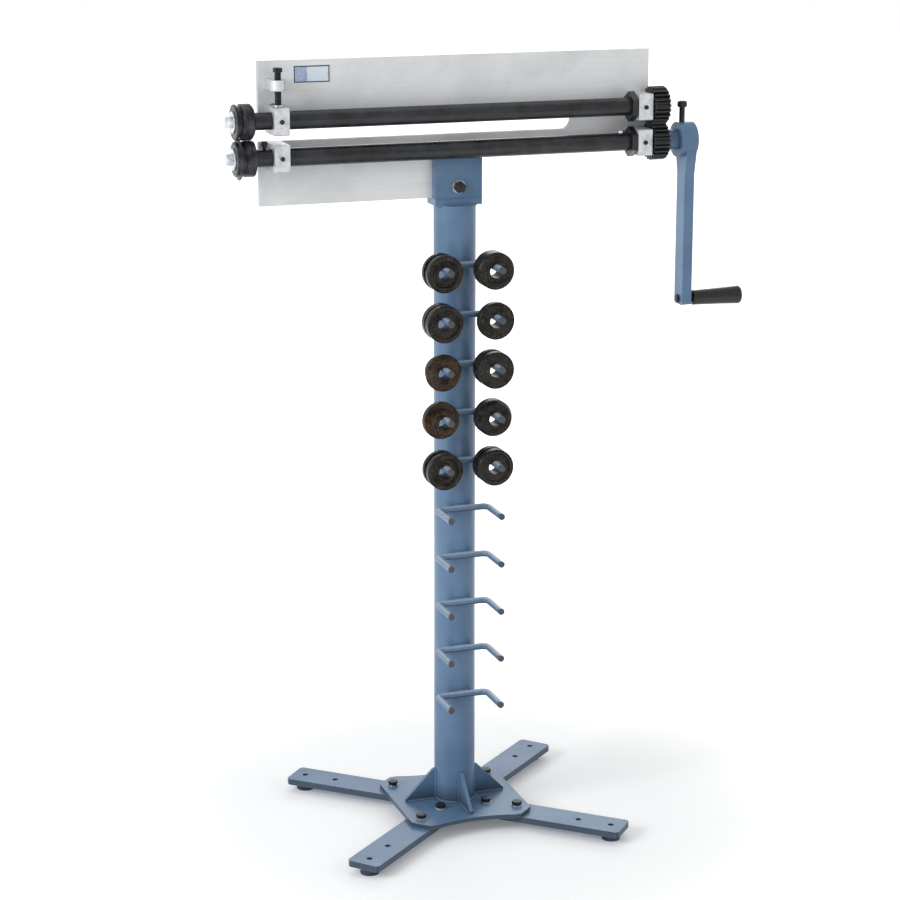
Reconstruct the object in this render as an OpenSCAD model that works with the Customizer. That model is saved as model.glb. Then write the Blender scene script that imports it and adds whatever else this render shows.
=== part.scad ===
// Hand-cranked beading machine on a floor stand, with ten spare dies on its hooks.
// X runs along the shafts towards the crank, Y runs away from the operator, Z is up.
// The origin is on the floor, under the axis of the column.

/* [Feet and legs] */
// Thickness of the rubber pad under a foot
pad_h = 5; // [3:0.5:8]
// Diameter of the rubber pad
pad_d = 34; // [30:1:44]
// Height of the steel boss between pad and leg
boss_h = 10; // [8:0.5:16]
// Diameter of the steel boss
boss_d = 30; // [24:1:40]
// Thickness of a leg bar
leg_t = 12; // [8:0.5:16]
// Width of a leg bar
leg_w = 64; // [50:1:68]
// Distance from the column's axis to the tip of a leg
leg_reach = 339; // [320:1:420]
// Gap between the inner ends of neighbouring legs
leg_gap = 9; // [6:0.5:14]
// Angle between a leg and the X direction, in degrees
leg_angle = 42; // [41:0.5:46]
// Distance from the tip of a leg to the anchor hole over its foot
anchor_inset = 25; // [19:1:30]
// Distance between the anchor hole and the spare hole of a leg
spare_gap = 64; // [40:1:90]
// Diameter of the anchor and spare holes
anchor_d = 11; // [9:0.5:14]

/* [Base plate] */
// Thickness of the base plate
plate_t = 8; // [6:0.5:12]
// Width of the base plate along X
plate_w = 234; // [224:1:250]
// Depth of the base plate along Y at its corners
plate_d = 250; // [240:1:270]
// Length that is cut off each corner of the base plate, along its diagonal
plate_corner_cut = 19; // [10:1:26]
// How far the front and back edges curve in
plate_hollow = 12; // [6:1:20]
// Width of the curved stretch of the front and back edges
plate_hollow_w = 150; // [120:1:170]
// Distance from a cut corner of the base plate to the outer base bolt
bolt_edge = 25; // [20:1:32]
// Distance from the column's axis to an inner base bolt, along X
bolt_inner_x = 45; // [42:1:52]
// Distance from the column's axis to an inner base bolt, along Y
bolt_inner_y = 51; // [46:1:56]
// Thread diameter of the base bolts
base_bolt_d = 10; // [8:0.5:12]

/* [Column] */
// Outer diameter of the column tube
column_d = 76; // [66:1:78]
// Wall of the column tube
column_wall = 4; // [3:0.5:6]
// Length of the column tube
column_l = 1129; // [1080:1:1250]
// Thickness of the disc that closes the top of the tube
cap_t = 5; // [3:0.5:8]
// Distance from the curved edge of the base plate to the toe of a gusset
gusset_inset = 16; // [8:1:28]
// Height of a gusset
gusset_h = 60; // [45:1:80]
// Thickness of a gusset
gusset_t = 6; // [4:0.5:8]
// Height of the blunt edge at the toe of a gusset
gusset_toe = 5; // [3:0.5:8]

/* [Die hooks] */
// Number of hook rods on the column
hook_rows = 10; // [6:1:10]
// Distance from the top of the column to the highest rod
hook_top_gap = 104; // [90:1:130]
// Distance from the foot of the column to the lowest rod
hook_bottom_gap = 218; // [180:1:300]
// Diameter of the rod
hook_d = 12; // [9:0.5:13]
// Distance from the column's axis to a prong, along X
hook_half_w = 48; // [44:1:56]
// Bend radius of the rod, to its centre
hook_bend_r = 11; // [9:0.5:18]
// How far the prongs reach in front of the crossbar
hook_reach = 78; // [72:1:95]

/* [Head bracket] */
// Width of the bracket along X
bracket_w = 88; // [78:1:96]
// Depth of the bracket along Y
bracket_d = 44; // [40:1:48]
// Thickness of the block welded on the column
bracket_base_t = 13; // [10:0.5:18]
// Height of the two cheeks above the block
cheek_h = 84; // [70:1:92]
// Height of the clamping bolt above the block
clamp_bolt_h = 20; // [16:1:40]
// Thread diameter of the clamping bolt
clamp_bolt_d = 12; // [10:0.5:14]

/* [Frame plate] */
// Thickness of the frame plate
frame_t = 12; // [10:0.5:14]
// Height of the frame plate above the upper shaft
frame_above = 98; // [90:1:110]
// Distance from the column's axis to the front end of the frame plate
frame_front = 359; // [352:1:366]
// Distance from the column's axis to the rear end of the frame plate
frame_rear = 368; // [366:1:376]
// Distance from the column's axis to the step in the lower edge
frame_step_x = 46; // [43:1:90]
// Depth of the frame plate below the lower shaft, behind the step
frame_below = 21; // [18:1:28]
// Height of the throat slot for the sheet
slot_h = 34; // [30:1:38]
// Distance from the column's axis to the closed end of the slot
slot_end = 219; // [180:1:250]
// Width of the blank nameplate
label_w = 66; // [50:1:72]
// Height of the blank nameplate
label_h = 31; // [24:1:34]
// Thickness of the nameplate
label_t = 1; // [0.8:0.1:1.5]

/* [Shafts] */
// Gap between the frame plate and the gears
gear_clear = 1.5; // [1:0.1:4]
// Height of the lower shaft above the bottom edge of the frame plate
shaft_rise = 89; // [86:1:92]
// Diameter of the shafts between the bearing blocks
shaft_d = 32; // [28:1:34]
// Diameter of the shaft ends that carry bushes, gears and dies
journal_d = 25; // [20:1:26]
// Wall of the bearing bushes
bush_wall = 3; // [2:0.5:4]
// Wall of the sleeves behind the mounted dies
sleeve_wall = 2.5; // [2:0.5:4]
// Width of the hexagon collars across their corners
collar_d = 54; // [46:1:58]
// Length of the hexagon collars
collar_l = 11; // [8:0.5:14]

/* [Bearing blocks] */
// Length of a bearing block along the shaft
block_l = 27; // [24:1:30]
// Wall of a bearing block in front of its bush
block_front_wall = 8.5; // [6:0.5:14]
// Wall of a bearing block above and below its bush
block_wall = 8; // [6:0.5:10]
// Distance from the front end of the frame plate to the front blocks
block_front_inset = 12.5; // [6:0.5:20]
// Distance from the rear end of the frame plate to the rear blocks
block_rear_inset = 15.5; // [10:0.5:24]

/* [Gears] */
// Module of the gear teeth
gear_module = 3; // [2.9:0.05:3.1]
// Number of teeth on each gear
gear_teeth = 21; // [21:2:23]
// Pressure angle of the teeth, in degrees
gear_pressure = 20; // [18:0.5:22]
// Play between the teeth on the pitch circle
gear_play = 0.9; // [0.8:0.05:1.1]
// Width of the gears
gear_w = 30; // [24:1:34]

/* [Height adjuster] */
// Height of the lug that holds the adjusting screw
lug_h = 18; // [14:1:22]
// Width of the lug
lug_w = 26; // [22:1:32]
// Distance from the top edge of the frame plate down to the lug
lug_drop = 29; // [24:1:32]
// Thread diameter of the adjusting screw
adjuster_d = 12; // [10:0.5:14]
// How far the head of the screw stands above the lug
adjuster_rise = 13; // [11:1:18]
// Lift of the upper front block that the screw gives
lift = 7; // [4:0.5:7]

/* [Crank] */
// Diameter of the crank hub
hub_d = 63; // [56:1:66]
// Length of the crank hub
hub_l = 31; // [26:1:33]
// Distance from the lower shaft to the grip's axis
crank_r = 293; // [240:1:320]
// Thickness of the crank arm
arm_t = 19; // [16:1:22]
// Width of the crank arm
arm_w = 34; // [30:1:38]
// Length of the hand grip
grip_l = 97; // [90:1:115]
// Diameter of the grip beside the arm
grip_neck_d = 28; // [23:1:30]
// Diameter of the grip at its free end
grip_end_d = 34; // [31:1:36]

/* [Dies] */
// Outer diameter of a spare die
die_d = 67; // [62:1:70]
// Length of the mounted dies
mounted_die_l = 34; // [30:1:38]
// Length of the stored dies
stored_die_l = 36; // [30:1:40]
// How far the ridge of the lower die stands out
ridge_h = 5; // [3:0.5:6]

/* [Hidden] */
// Running clearance of a turning shaft, on the radius
run_gap = 0.05;
// Clearance of a pressed or keyed fit, on the radius
press_gap = 0.03;
// Clearance of a bolt in its hole, on the radius
bolt_gap = 0.25;
// Gap between pieces that only rest against each other
seat_gap = 0.3;
// Overrun of every cut
cut = 1;
$fn = 64;

// Stand
leg_z = pad_h + boss_h;
plate_z = leg_z + leg_t;
column_z = plate_z + plate_t;
column_top = column_z + column_l;
leg_angles = [leg_angle, 180 - leg_angle, 180 + leg_angle, -leg_angle];
leg_split = min(leg_angle, 90 - leg_angle);
leg_root = (leg_gap / 2 + leg_w / 2 * cos(leg_split)) / sin(leg_split);
leg_tip_cut = 5;
anchor_r = leg_reach - anchor_inset;
spare_r = anchor_r - spare_gap;
plate_reach = norm([plate_w, plate_d]) / 2 - plate_corner_cut;
bolt_outer_r = plate_reach - bolt_edge;
gusset_reach = plate_d / 2 - plate_hollow - gusset_inset;
hollow_r = (pow(plate_hollow_w / 2, 2) + pow(plate_hollow, 2)) / (2 * plate_hollow);
base_washer_t = 2;
base_washer_d = 2.1 * base_bolt_d;
base_head_h = 0.7 * base_bolt_d;
base_head_af = 1.65 * base_bolt_d;
base_nut_h = 0.8 * base_bolt_d;
base_bolt_end = 2;

// Hook rods
hook_y = -(column_d + hook_d) / 2;
hook_top_z = column_top - hook_top_gap;
hook_spacing = (column_l - hook_top_gap - hook_bottom_gap) / (hook_rows - 1);

// Bracket
bracket_z = column_top + bracket_base_t;
cheek_t = (bracket_d - frame_t) / 2;
clamp_bolt_z = bracket_z + clamp_bolt_h;
clamp_washer_t = 2.5;
clamp_washer_d = 2 * clamp_bolt_d;
clamp_head_h = 0.65 * clamp_bolt_d;
clamp_head_af = 1.6 * clamp_bolt_d;
clamp_nut_h = 0.85 * clamp_bolt_d;
clamp_bolt_end = 3;

// Frame plate and shafts
frame_z = bracket_z;
shaft_spacing = gear_module * gear_teeth;
pitch_r = shaft_spacing / 2;
tip_r = pitch_r + gear_module;
shaft_offset = frame_t / 2 + gear_clear + tip_r;
shaft_y = -shaft_offset;
lower_z = frame_z + shaft_rise;
upper_z = lower_z + shaft_spacing;
frame_top = upper_z + frame_above;
frame_step_z = lower_z - frame_below;
slot_rise = 8.5;
slot_z = (lower_z + upper_z) / 2 + slot_rise;
label_from_end = 63;
label_from_top = 9;
label_x = -frame_front + label_from_end;
label_z = frame_top - label_from_top - label_h;

// Bearing blocks
front_x = -frame_front + block_front_inset + block_l / 2;
rear_x = frame_rear - block_rear_inset - block_l / 2;
bush_d = journal_d + 2 * bush_wall;
bush_bore_d = journal_d + 2 * run_gap;
block_back = shaft_offset - frame_t / 2;
block_face = -bush_d / 2 - block_front_wall;
block_h = bush_d + 2 * block_wall;
block_chamfer = 1.5;
plate_screw_d = 8;
plate_screw_spread = 12;
plate_screw_depth = 12;
plate_screw_head_share = 1.625;
nipple_d = 8;
nipple_h = 3;
nipple_tip_d = 4;
nipple_tip_h = 3;

// Rocking carriage of the upper shaft
pivot_d = 12;
pivot_head_d = 20;
pivot_head_h = 8;
pivot_depth = 14;
guide_d = 12;
guide_washer_d = 28;
guide_washer_t = 3;
guide_play = 0.5;
guide_rise = 12;

// Shaft ends
shoulder_front_x = front_x + block_l / 2 + seat_gap;
shoulder_rear_x = rear_x - block_l / 2 - seat_gap;
gear_gap = 2.5;
gear_x = rear_x + block_l / 2 + gear_gap;
gear_chamfer = 3;
sleeve_d = journal_d + 2 * sleeve_wall;
sleeve_l = 31.6;
sleeve_x = front_x - block_l / 2 - sleeve_l - seat_gap;
die_back_x = sleeve_x - seat_gap;
journal_inset = 1;
journal_front_x = die_back_x - mounted_die_l + journal_inset;
upper_tail = 2;
retainer_d = 12;
retainer_depth = 26;
retainer_washer_d = 38;
retainer_washer_t = 3;
retainer_head_af = 19;
retainer_head_h = 11;
stud_d = 6;
stud_head_d = 11;
stud_head_h = 9;
stud_stand = 5;
stud_depth = sleeve_wall;
sleeve_stud_from_die = 20;
stop_stud_gap = 14;
stop_stud_stand = 1;
stop_stud_head_h = 5;

// Dies
die_gap = 0.6;
mounted_d = shaft_spacing - die_gap;
die_bore_d = journal_d + 2 * press_gap;
stored_back_y = hook_y - hook_bend_r - 2 * seat_gap;
stored_drop = journal_d / 2 - hook_d / 2 - seat_gap;

// Adjuster
lug_z = frame_top - lug_drop - lug_h;
lug_screw_d = 6;
lug_screw_edge = 5;
lug_screw_spread = lug_w / 2 - lug_screw_edge;
thrust_washer_d = 20;
thrust_washer_t = 3;
thrust_z = upper_z + block_h / 2 + seat_gap;
adjuster_z = thrust_z + thrust_washer_t + seat_gap;
adjuster_head_z = lug_z + lug_h + adjuster_rise;
adjuster_head_af = 14;
adjuster_head_h = 8;

// Crank
spacer_d = 38;
spacer_l = 23.7;
hub_x = gear_x + gear_w + spacer_l + 2 * seat_gap;
hub_end_x = hub_x + hub_l;
arm_inset = 1;
arm_x = hub_end_x - arm_t - arm_inset;
grip_z = lower_z - crank_r;
arm_end = 10;
arm_flare_z = 62;
arm_flare_top = 22;
arm_shoulder_share = 0.8;
arm_corner = 4;
clamp_stud_d = 11;
clamp_stud_head_d = 18;
clamp_stud_head_h = 12;
clamp_stud_stand = 26;
clamp_stud_depth = 8;
spindle_d = 10;
spindle_collar_d = 16;
spindle_collar_l = 7;
spindle_nut_af = 14;
spindle_nut_l = 4;
spindle_end = 1;
spindle_head_d = 17;
spindle_head_l = 6;
grip_x = arm_x + arm_t + spindle_collar_l + seat_gap;
grip_round = 4;

paint = "steelblue";
blackened = "dimgray";
bare = "gainsboro";
oiled = "saddlebrown";

// A hexagon with flats the distance af apart
module hexagon(af) {
    circle(d = af / cos(30), $fn = 6);
}

// A bar of diameter d along X, from x0 for a length l, on the local axis
module bar_x(x0, l, d) {
    translate([x0, 0, 0])
        rotate([0, 90, 0])
            cylinder(d = d, h = l);
}

// A bar of diameter d along Y, from y0 for a length l, on the local axis
module bar_y(y0, l, d) {
    translate([0, y0 + l, 0])
        rotate([90, 0, 0])
            cylinder(d = d, h = l);
}

// A ring round the X axis
module ring_x(x0, l, outer, inner) {
    difference() {
        bar_x(x0, l, outer);
        bar_x(x0 - cut, l + 2 * cut, inner);
    }
}

// A hexagon bar along X
module hex_x(x0, l, af) {
    translate([x0, 0, 0])
        rotate([0, 90, 0])
            linear_extrude(l)
                hexagon(af);
}

// A hexagon bar along Y
module hex_y(y0, l, af) {
    translate([0, y0 + l, 0])
        rotate([90, 0, 0])
            linear_extrude(l)
                hexagon(af);
}

// Puts a copy at the distance r along each leg
module on_legs(r) {
    for (a = leg_angles)
        rotate([0, 0, a])
            translate([r, 0, 0])
                children();
}

// Puts a copy at each base bolt: an outer and an inner one on every leg
module at_base_bolts() {
    outer_x = bolt_outer_r * cos(leg_angle);
    outer_y = bolt_outer_r * sin(leg_angle);
    for (x = [-1, 1], y = [-1, 1], place = [[outer_x, outer_y], [bolt_inner_x, bolt_inner_y]])
        translate([x * place[0], y * place[1], 0])
            children();
}

module base_bolt_holes(z, h) {
    at_base_bolts()
        translate([0, 0, z - cut])
            cylinder(d = base_bolt_d + 2 * bolt_gap, h = h + 2 * cut);
}

// Moves from the frame to the axis of the lower or the upper shaft
module at_lower() {
    translate([0, shaft_y, lower_z])
        children();
}

module at_upper() {
    translate([0, shaft_y, upper_z])
        children();
}

// Base of the stand
module leg(a) {
    rotate([0, 0, a])
        difference() {
            translate([0, 0, leg_z])
                linear_extrude(leg_t)
                    polygon([
                        [leg_root, -leg_w / 2],
                        [leg_reach - leg_tip_cut, -leg_w / 2],
                        [leg_reach, -leg_w / 2 + leg_tip_cut],
                        [leg_reach, leg_w / 2 - leg_tip_cut],
                        [leg_reach - leg_tip_cut, leg_w / 2],
                        [leg_root, leg_w / 2]
                    ]);
            for (r = [anchor_r, spare_r])
                translate([r, 0, leg_z - cut])
                    cylinder(d = anchor_d, h = leg_t + 2 * cut);
        }
}

module drilled_leg(a) {
    color(paint)
        difference() {
            leg(a);
            base_bolt_holes(leg_z, leg_t);
        }
}

module leg_front_left() {
    drilled_leg(180 + leg_angle);
}

module leg_front_right() {
    drilled_leg(-leg_angle);
}

module leg_back_left() {
    drilled_leg(180 - leg_angle);
}

module leg_back_right() {
    drilled_leg(leg_angle);
}

module foot_ring(z, h, d) {
    on_legs(anchor_r)
        translate([0, 0, z])
            difference() {
                cylinder(d = d, h = h);
                translate([0, 0, -cut])
                    cylinder(d = anchor_d, h = h + 2 * cut);
            }
}

module foot_bosses() {
    color(paint) foot_ring(pad_h, boss_h, boss_d);
}

module foot_pads() {
    color("black") foot_ring(0, pad_h, pad_d);
}

module base_plate() {
    color(paint)
        translate([0, 0, plate_z])
            difference() {
                intersection() {
                    translate([-plate_w / 2, -plate_d / 2, 0])
                        cube([plate_w, plate_d, plate_t]);
                    intersection_for (a = [leg_angle, -leg_angle])
                        rotate([0, 0, a])
                            translate([-plate_reach, -plate_reach, 0])
                                cube([2 * plate_reach, 2 * plate_reach, plate_t]);
                }
                for (side = [-1, 1])
                    translate([0, side * (plate_d / 2 - plate_hollow + hollow_r), -cut])
                        cylinder(r = hollow_r, h = plate_t + 2 * cut, $fn = 2 * $fn);
                base_bolt_holes(0, plate_t);
            }
}

module base_bolts() {
    head_z = column_z + base_washer_t;
    shank_z = leg_z - base_nut_h - base_bolt_end;
    color(blackened)
        at_base_bolts() {
            translate([0, 0, head_z])
                linear_extrude(base_head_h)
                    hexagon(base_head_af);
            translate([0, 0, shank_z])
                cylinder(d = base_bolt_d, h = head_z - shank_z + base_head_h / 2);
        }
}

module base_washers() {
    color("silver")
        difference() {
            at_base_bolts()
                translate([0, 0, column_z])
                    cylinder(d = base_washer_d, h = base_washer_t);
            base_bolt_holes(column_z, base_washer_t);
        }
}

module base_nuts() {
    color(blackened)
        at_base_bolts()
            translate([0, 0, leg_z - base_nut_h])
                difference() {
                    linear_extrude(base_nut_h)
                        hexagon(base_head_af);
                    translate([0, 0, -cut])
                        cylinder(d = base_bolt_d + 2 * press_gap, h = base_nut_h + 2 * cut);
                }
}

// Column
module column_tube() {
    color(paint)
        translate([0, 0, column_z])
            difference() {
                cylinder(d = column_d, h = column_l);
                translate([0, 0, -cut])
                    cylinder(d = column_d - 2 * column_wall, h = column_l + 2 * cut);
            }
}

module column_cap() {
    color(paint)
        translate([0, 0, column_top - cap_t])
            cylinder(d = column_d - 2 * column_wall - 2 * press_gap, h = cap_t);
}

module column_gussets() {
    color(paint)
        difference() {
            for (a = [0, 90, 180, 270])
                rotate([0, 0, a])
                    translate([0, gusset_t / 2, column_z])
                        rotate([90, 0, 0])
                            linear_extrude(gusset_t)
                                polygon([
                                    [column_d / 2 - column_wall, 0],
                                    [gusset_reach, 0],
                                    [gusset_reach, gusset_toe],
                                    [column_d / 2 + gusset_toe, gusset_h],
                                    [column_d / 2 - column_wall, gusset_h]
                                ]);
            translate([0, 0, column_z - cut])
                cylinder(d = column_d, h = gusset_h + 2 * cut);
        }
}

// One rod: a crossbar on the column's front, two bends and two prongs
module hook_rod() {
    straight = hook_half_w - hook_bend_r;
    bar_x(-straight, 2 * straight, hook_d);
    for (side = [0, 1])
        mirror([side, 0, 0]) {
            translate([straight, -hook_bend_r, 0])
                rotate_extrude(angle = 90)
                    translate([hook_bend_r, 0])
                        circle(d = hook_d);
            translate([hook_half_w, 0, 0])
                bar_y(-hook_reach, hook_reach - hook_bend_r, hook_d);
        }
}

module hook_rods() {
    color(paint)
        for (row = [0:hook_rows - 1])
            translate([0, hook_y, hook_top_z - row * hook_spacing])
                hook_rod();
}

// Head bracket
module bracket_base() {
    color(paint)
        translate([-bracket_w / 2, -bracket_d / 2, column_top])
            cube([bracket_w, bracket_d, bracket_base_t]);
}

module bracket_cheeks() {
    color(paint)
        difference() {
            for (y0 = [-bracket_d / 2, frame_t / 2])
                translate([-bracket_w / 2, y0, bracket_z])
                    cube([bracket_w, cheek_t, cheek_h]);
            translate([0, 0, clamp_bolt_z])
                bar_y(-bracket_d, 2 * bracket_d, clamp_bolt_d + 2 * bolt_gap);
        }
}

module bracket_fasteners() {
    head_y = -bracket_d / 2 - clamp_washer_t;
    nut_y = bracket_d / 2 + clamp_washer_t;
    shank_y = head_y - clamp_head_h / 2;
    shank_end_y = nut_y + clamp_nut_h + clamp_bolt_end;
    color(blackened)
        translate([0, 0, clamp_bolt_z]) {
            hex_y(head_y - clamp_head_h, clamp_head_h, clamp_head_af);
            bar_y(shank_y, shank_end_y - shank_y, clamp_bolt_d);
            for (y0 = [head_y, bracket_d / 2])
                difference() {
                    bar_y(y0, clamp_washer_t, clamp_washer_d);
                    bar_y(y0 - cut, clamp_washer_t + 2 * cut, clamp_bolt_d + 2 * bolt_gap);
                }
            difference() {
                hex_y(nut_y, clamp_nut_h, clamp_head_af);
                bar_y(nut_y - cut, clamp_nut_h + 2 * cut, clamp_bolt_d + 2 * press_gap);
            }
        }
}

// Places of the screws that come through the frame plate from behind
module at_plate_screws() {
    for (x = [front_x, rear_x], side = [-1, 1])
        translate([x, 0, lower_z + side * plate_screw_spread])
            children();
}

module at_lug_screws() {
    for (side = [-1, 1])
        translate([front_x + side * lug_screw_spread, 0, lug_z + lug_h / 2])
            children();
}

// Frame plate
module frame_plate() {
    through = frame_t + 2 * cut;
    color(bare)
        difference() {
            union() {
                translate([-frame_front, -frame_t / 2, frame_step_z])
                    cube([frame_front + frame_rear, frame_t, frame_top - frame_step_z]);
                translate([-frame_front, -frame_t / 2, frame_z])
                    cube([frame_front + frame_step_x, frame_t, frame_top - frame_z]);
            }
            translate([-frame_front - cut, -frame_t / 2 - cut, slot_z - slot_h / 2])
                cube([frame_front + slot_end - slot_h / 2 + cut, through, slot_h]);
            translate([slot_end - slot_h / 2, 0, slot_z])
                bar_y(-frame_t / 2 - cut, through, slot_h);
            translate([0, 0, clamp_bolt_z])
                bar_y(-frame_t / 2 - cut, through, clamp_bolt_d + 2 * bolt_gap);
            at_plate_screws()
                bar_y(-frame_t / 2 - cut, through, plate_screw_d + 2 * bolt_gap);
            at_lug_screws()
                bar_y(-frame_t / 2 - cut, through, lug_screw_d + 2 * bolt_gap);
            translate([rear_x, 0, upper_z])
                bar_y(-frame_t / 2 - cut, through, pivot_d + 2 * run_gap);
            translate([front_x, 0, upper_z + guide_rise])
                guide_slot(through);
        }
}

// Upright slot that lets the upper front block rise
module guide_slot(through) {
    slot_w = guide_d + 2 * guide_play;
    for (rise = [0, lift])
        translate([0, 0, rise])
            bar_y(-frame_t / 2 - cut, through, slot_w);
    translate([-slot_w / 2, -frame_t / 2 - cut, 0])
        cube([slot_w, through, lift]);
}

module nameplate() {
    color("lightsteelblue")
        translate([label_x, -frame_t / 2 - label_t, label_z])
            cube([label_w, label_t, label_h]);
}

// A socket screw driven forward through the frame plate
module rear_screw(d, depth) {
    head_d = plate_screw_head_share * d;
    bar_y(-frame_t / 2 - depth, frame_t + depth + d / 2, d);
    difference() {
        bar_y(frame_t / 2, d, head_d);
        hex_y(frame_t / 2 + d / 2, d, head_d / 2);
    }
}

module plate_screws() {
    color(blackened) {
        at_plate_screws()
            rear_screw(plate_screw_d, plate_screw_depth);
        at_lug_screws()
            rear_screw(lug_screw_d, plate_screw_depth);
    }
}

// A bearing block centred on the local X axis, with its bush seat
module block(x) {
    difference() {
        translate([x - block_l / 2, 0, 0])
            rotate([90, 0, 90])
                linear_extrude(block_l)
                    polygon([
                        [block_face + block_chamfer, -block_h / 2],
                        [block_back, -block_h / 2],
                        [block_back, block_h / 2],
                        [block_face + block_chamfer, block_h / 2],
                        [block_face, block_h / 2 - block_chamfer],
                        [block_face, -block_h / 2 + block_chamfer]
                    ]);
        bar_x(x - block_l, 2 * block_l, bush_d + 2 * press_gap);
    }
}

// Tapped hole in a block for a bolt of diameter d that comes through the frame plate
module block_hole(x, z, d, depth) {
    translate([x, 0, z])
        bar_y(block_back - depth - cut, depth + 2 * cut, d + 2 * press_gap);
}

// Seat of the grease nipple in the middle of the front face
module nipple_hole(x) {
    translate([x, 0, 0])
        bar_y(block_face - cut, nipple_h + 2 * cut, nipple_tip_d + 2 * press_gap);
}

module lower_block(x) {
    at_lower()
        difference() {
            block(x);
            for (side = [-1, 1])
                block_hole(x, side * plate_screw_spread, plate_screw_d, plate_screw_depth);
            nipple_hole(x);
        }
}

module upper_block(x, z, d, depth) {
    at_upper()
        difference() {
            block(x);
            block_hole(x, z, d, depth);
            nipple_hole(x);
        }
}

module lower_front_block() {
    color(bare) lower_block(front_x);
}

module lower_rear_block() {
    color(bare) lower_block(rear_x);
}

module upper_front_block() {
    color(bare) upper_block(front_x, guide_rise, guide_d, pivot_depth);
}

module upper_rear_block() {
    color(bare) upper_block(rear_x, 0, pivot_d, pivot_depth);
}

module bushes() {
    for (x = [front_x, rear_x])
        ring_x(x - block_l / 2, block_l, bush_d, bush_bore_d);
}

module lower_bushes() {
    color("goldenrod") at_lower() bushes();
}

module upper_bushes() {
    color("goldenrod") at_upper() bushes();
}

module grease_nipples() {
    for (x = [front_x, rear_x])
        translate([x, 0, 0]) {
            bar_y(block_face - nipple_h, nipple_h, nipple_d);
            bar_y(block_face - nipple_h - nipple_tip_h, nipple_tip_h + 2 * nipple_h, nipple_tip_d);
        }
}

module lower_grease_nipples() {
    color(blackened) at_lower() grease_nipples();
}

module upper_grease_nipples() {
    color(blackened) at_upper() grease_nipples();
}

// Pivot bolt of the rear block, and guide bolt with washer of the front block
module carriage_bolts() {
    tip_y = -frame_t / 2 - pivot_depth;
    head_y = frame_t / 2 + seat_gap;
    guide_head_y = head_y + guide_washer_t;
    color(blackened)
        translate([0, 0, upper_z]) {
            translate([rear_x, 0, 0]) {
                bar_y(tip_y, head_y + pivot_head_h / 2 - tip_y, pivot_d);
                hex_y(head_y, pivot_head_h, pivot_head_d);
            }
            translate([front_x, 0, guide_rise]) {
                bar_y(tip_y, guide_head_y + pivot_head_h / 2 - tip_y, guide_d);
                hex_y(guide_head_y, pivot_head_h, pivot_head_d);
                difference() {
                    bar_y(head_y, guide_washer_t, guide_washer_d);
                    bar_y(head_y - cut, guide_washer_t + 2 * cut, guide_d + 2 * press_gap);
                }
            }
        }
}

// Height adjuster
module adjuster_lug() {
    color(bare)
        difference() {
            union() {
                translate([front_x - lug_w / 2, shaft_y, lug_z])
                    cube([lug_w, shaft_offset - frame_t / 2, lug_h]);
                translate([front_x, shaft_y, lug_z])
                    cylinder(d = lug_w, h = lug_h);
            }
            translate([front_x, shaft_y, lug_z - cut])
                cylinder(d = adjuster_d + 2 * run_gap, h = lug_h + 2 * cut);
            at_lug_screws()
                bar_y(-frame_t / 2 - plate_screw_depth - cut, plate_screw_depth + 2 * cut,
                    lug_screw_d + 2 * press_gap);
        }
}

module adjusting_screw() {
    color(blackened)
        translate([front_x, shaft_y, 0]) {
            translate([0, 0, adjuster_z])
                cylinder(d = adjuster_d, h = adjuster_head_z - adjuster_z + adjuster_head_h / 2);
            translate([0, 0, adjuster_head_z])
                linear_extrude(adjuster_head_h)
                    hexagon(adjuster_head_af);
        }
}

module thrust_washer() {
    color("silver")
        translate([front_x, shaft_y, thrust_z])
            cylinder(d = thrust_washer_d, h = thrust_washer_t);
}

// A shaft with a full-size middle and two reduced ends, the rear one ending at x1
module shaft(x1) {
    difference() {
        union() {
            bar_x(shoulder_front_x, shoulder_rear_x - shoulder_front_x, shaft_d);
            bar_x(journal_front_x, x1 - journal_front_x, journal_d);
        }
        bar_x(journal_front_x - cut, retainer_depth + cut, retainer_d + 2 * press_gap);
    }
}

// Turns the stud of the upper sleeve to the rear
module stud_to_rear() {
    rotate([-90, 0, 0])
        children();
}

// Hole for a stud screw that stands on a round piece of diameter d
module stud_hole(x, d) {
    translate([x, 0, d / 2 - stud_depth])
        cylinder(d = stud_d + 2 * press_gap, h = stud_depth + cut);
}

// A stud screw with a round head on a round piece of diameter d
module stud(x, d, stand, head_h) {
    translate([x, 0, d / 2 - stud_depth])
        cylinder(d = stud_d, h = stud_depth + stand + head_h / 2);
    translate([x, 0, d / 2 + stand])
        cylinder(d = stud_head_d, h = head_h);
}

stop_stud_x = shoulder_rear_x - collar_l - stop_stud_gap;
sleeve_stud_x = die_back_x + sleeve_stud_from_die;

module upper_shaft() {
    color(blackened) at_upper() shaft(gear_x + gear_w + upper_tail);
}

module lower_shaft() {
    color(blackened)
        at_lower()
            difference() {
                shaft(hub_end_x - seat_gap);
                stud_hole(stop_stud_x, shaft_d);
            }
}

module sleeve() {
    difference() {
        ring_x(sleeve_x, sleeve_l, sleeve_d, journal_d + 2 * press_gap);
        stud_hole(sleeve_stud_x, sleeve_d);
    }
}

module upper_sleeve() {
    color(blackened) at_upper() stud_to_rear() sleeve();
}

module lower_sleeve() {
    color(blackened) at_lower() sleeve();
}

// Hexagon collar at the rear shoulder of a shaft
module collar() {
    difference() {
        hex_x(shoulder_rear_x - collar_l, collar_l, collar_d * cos(30));
        bar_x(shoulder_rear_x - collar_l - cut, collar_l + 2 * cut, shaft_d + 2 * press_gap);
    }
}

module upper_collar() {
    color(blackened) at_upper() collar();
}

// The lower shaft also has a spacer between its gear and the crank hub
module lower_collars() {
    color(blackened)
        at_lower() {
            collar();
            ring_x(gear_x + gear_w + seat_gap, spacer_l, spacer_d, journal_d + 2 * press_gap);
        }
}

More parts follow.
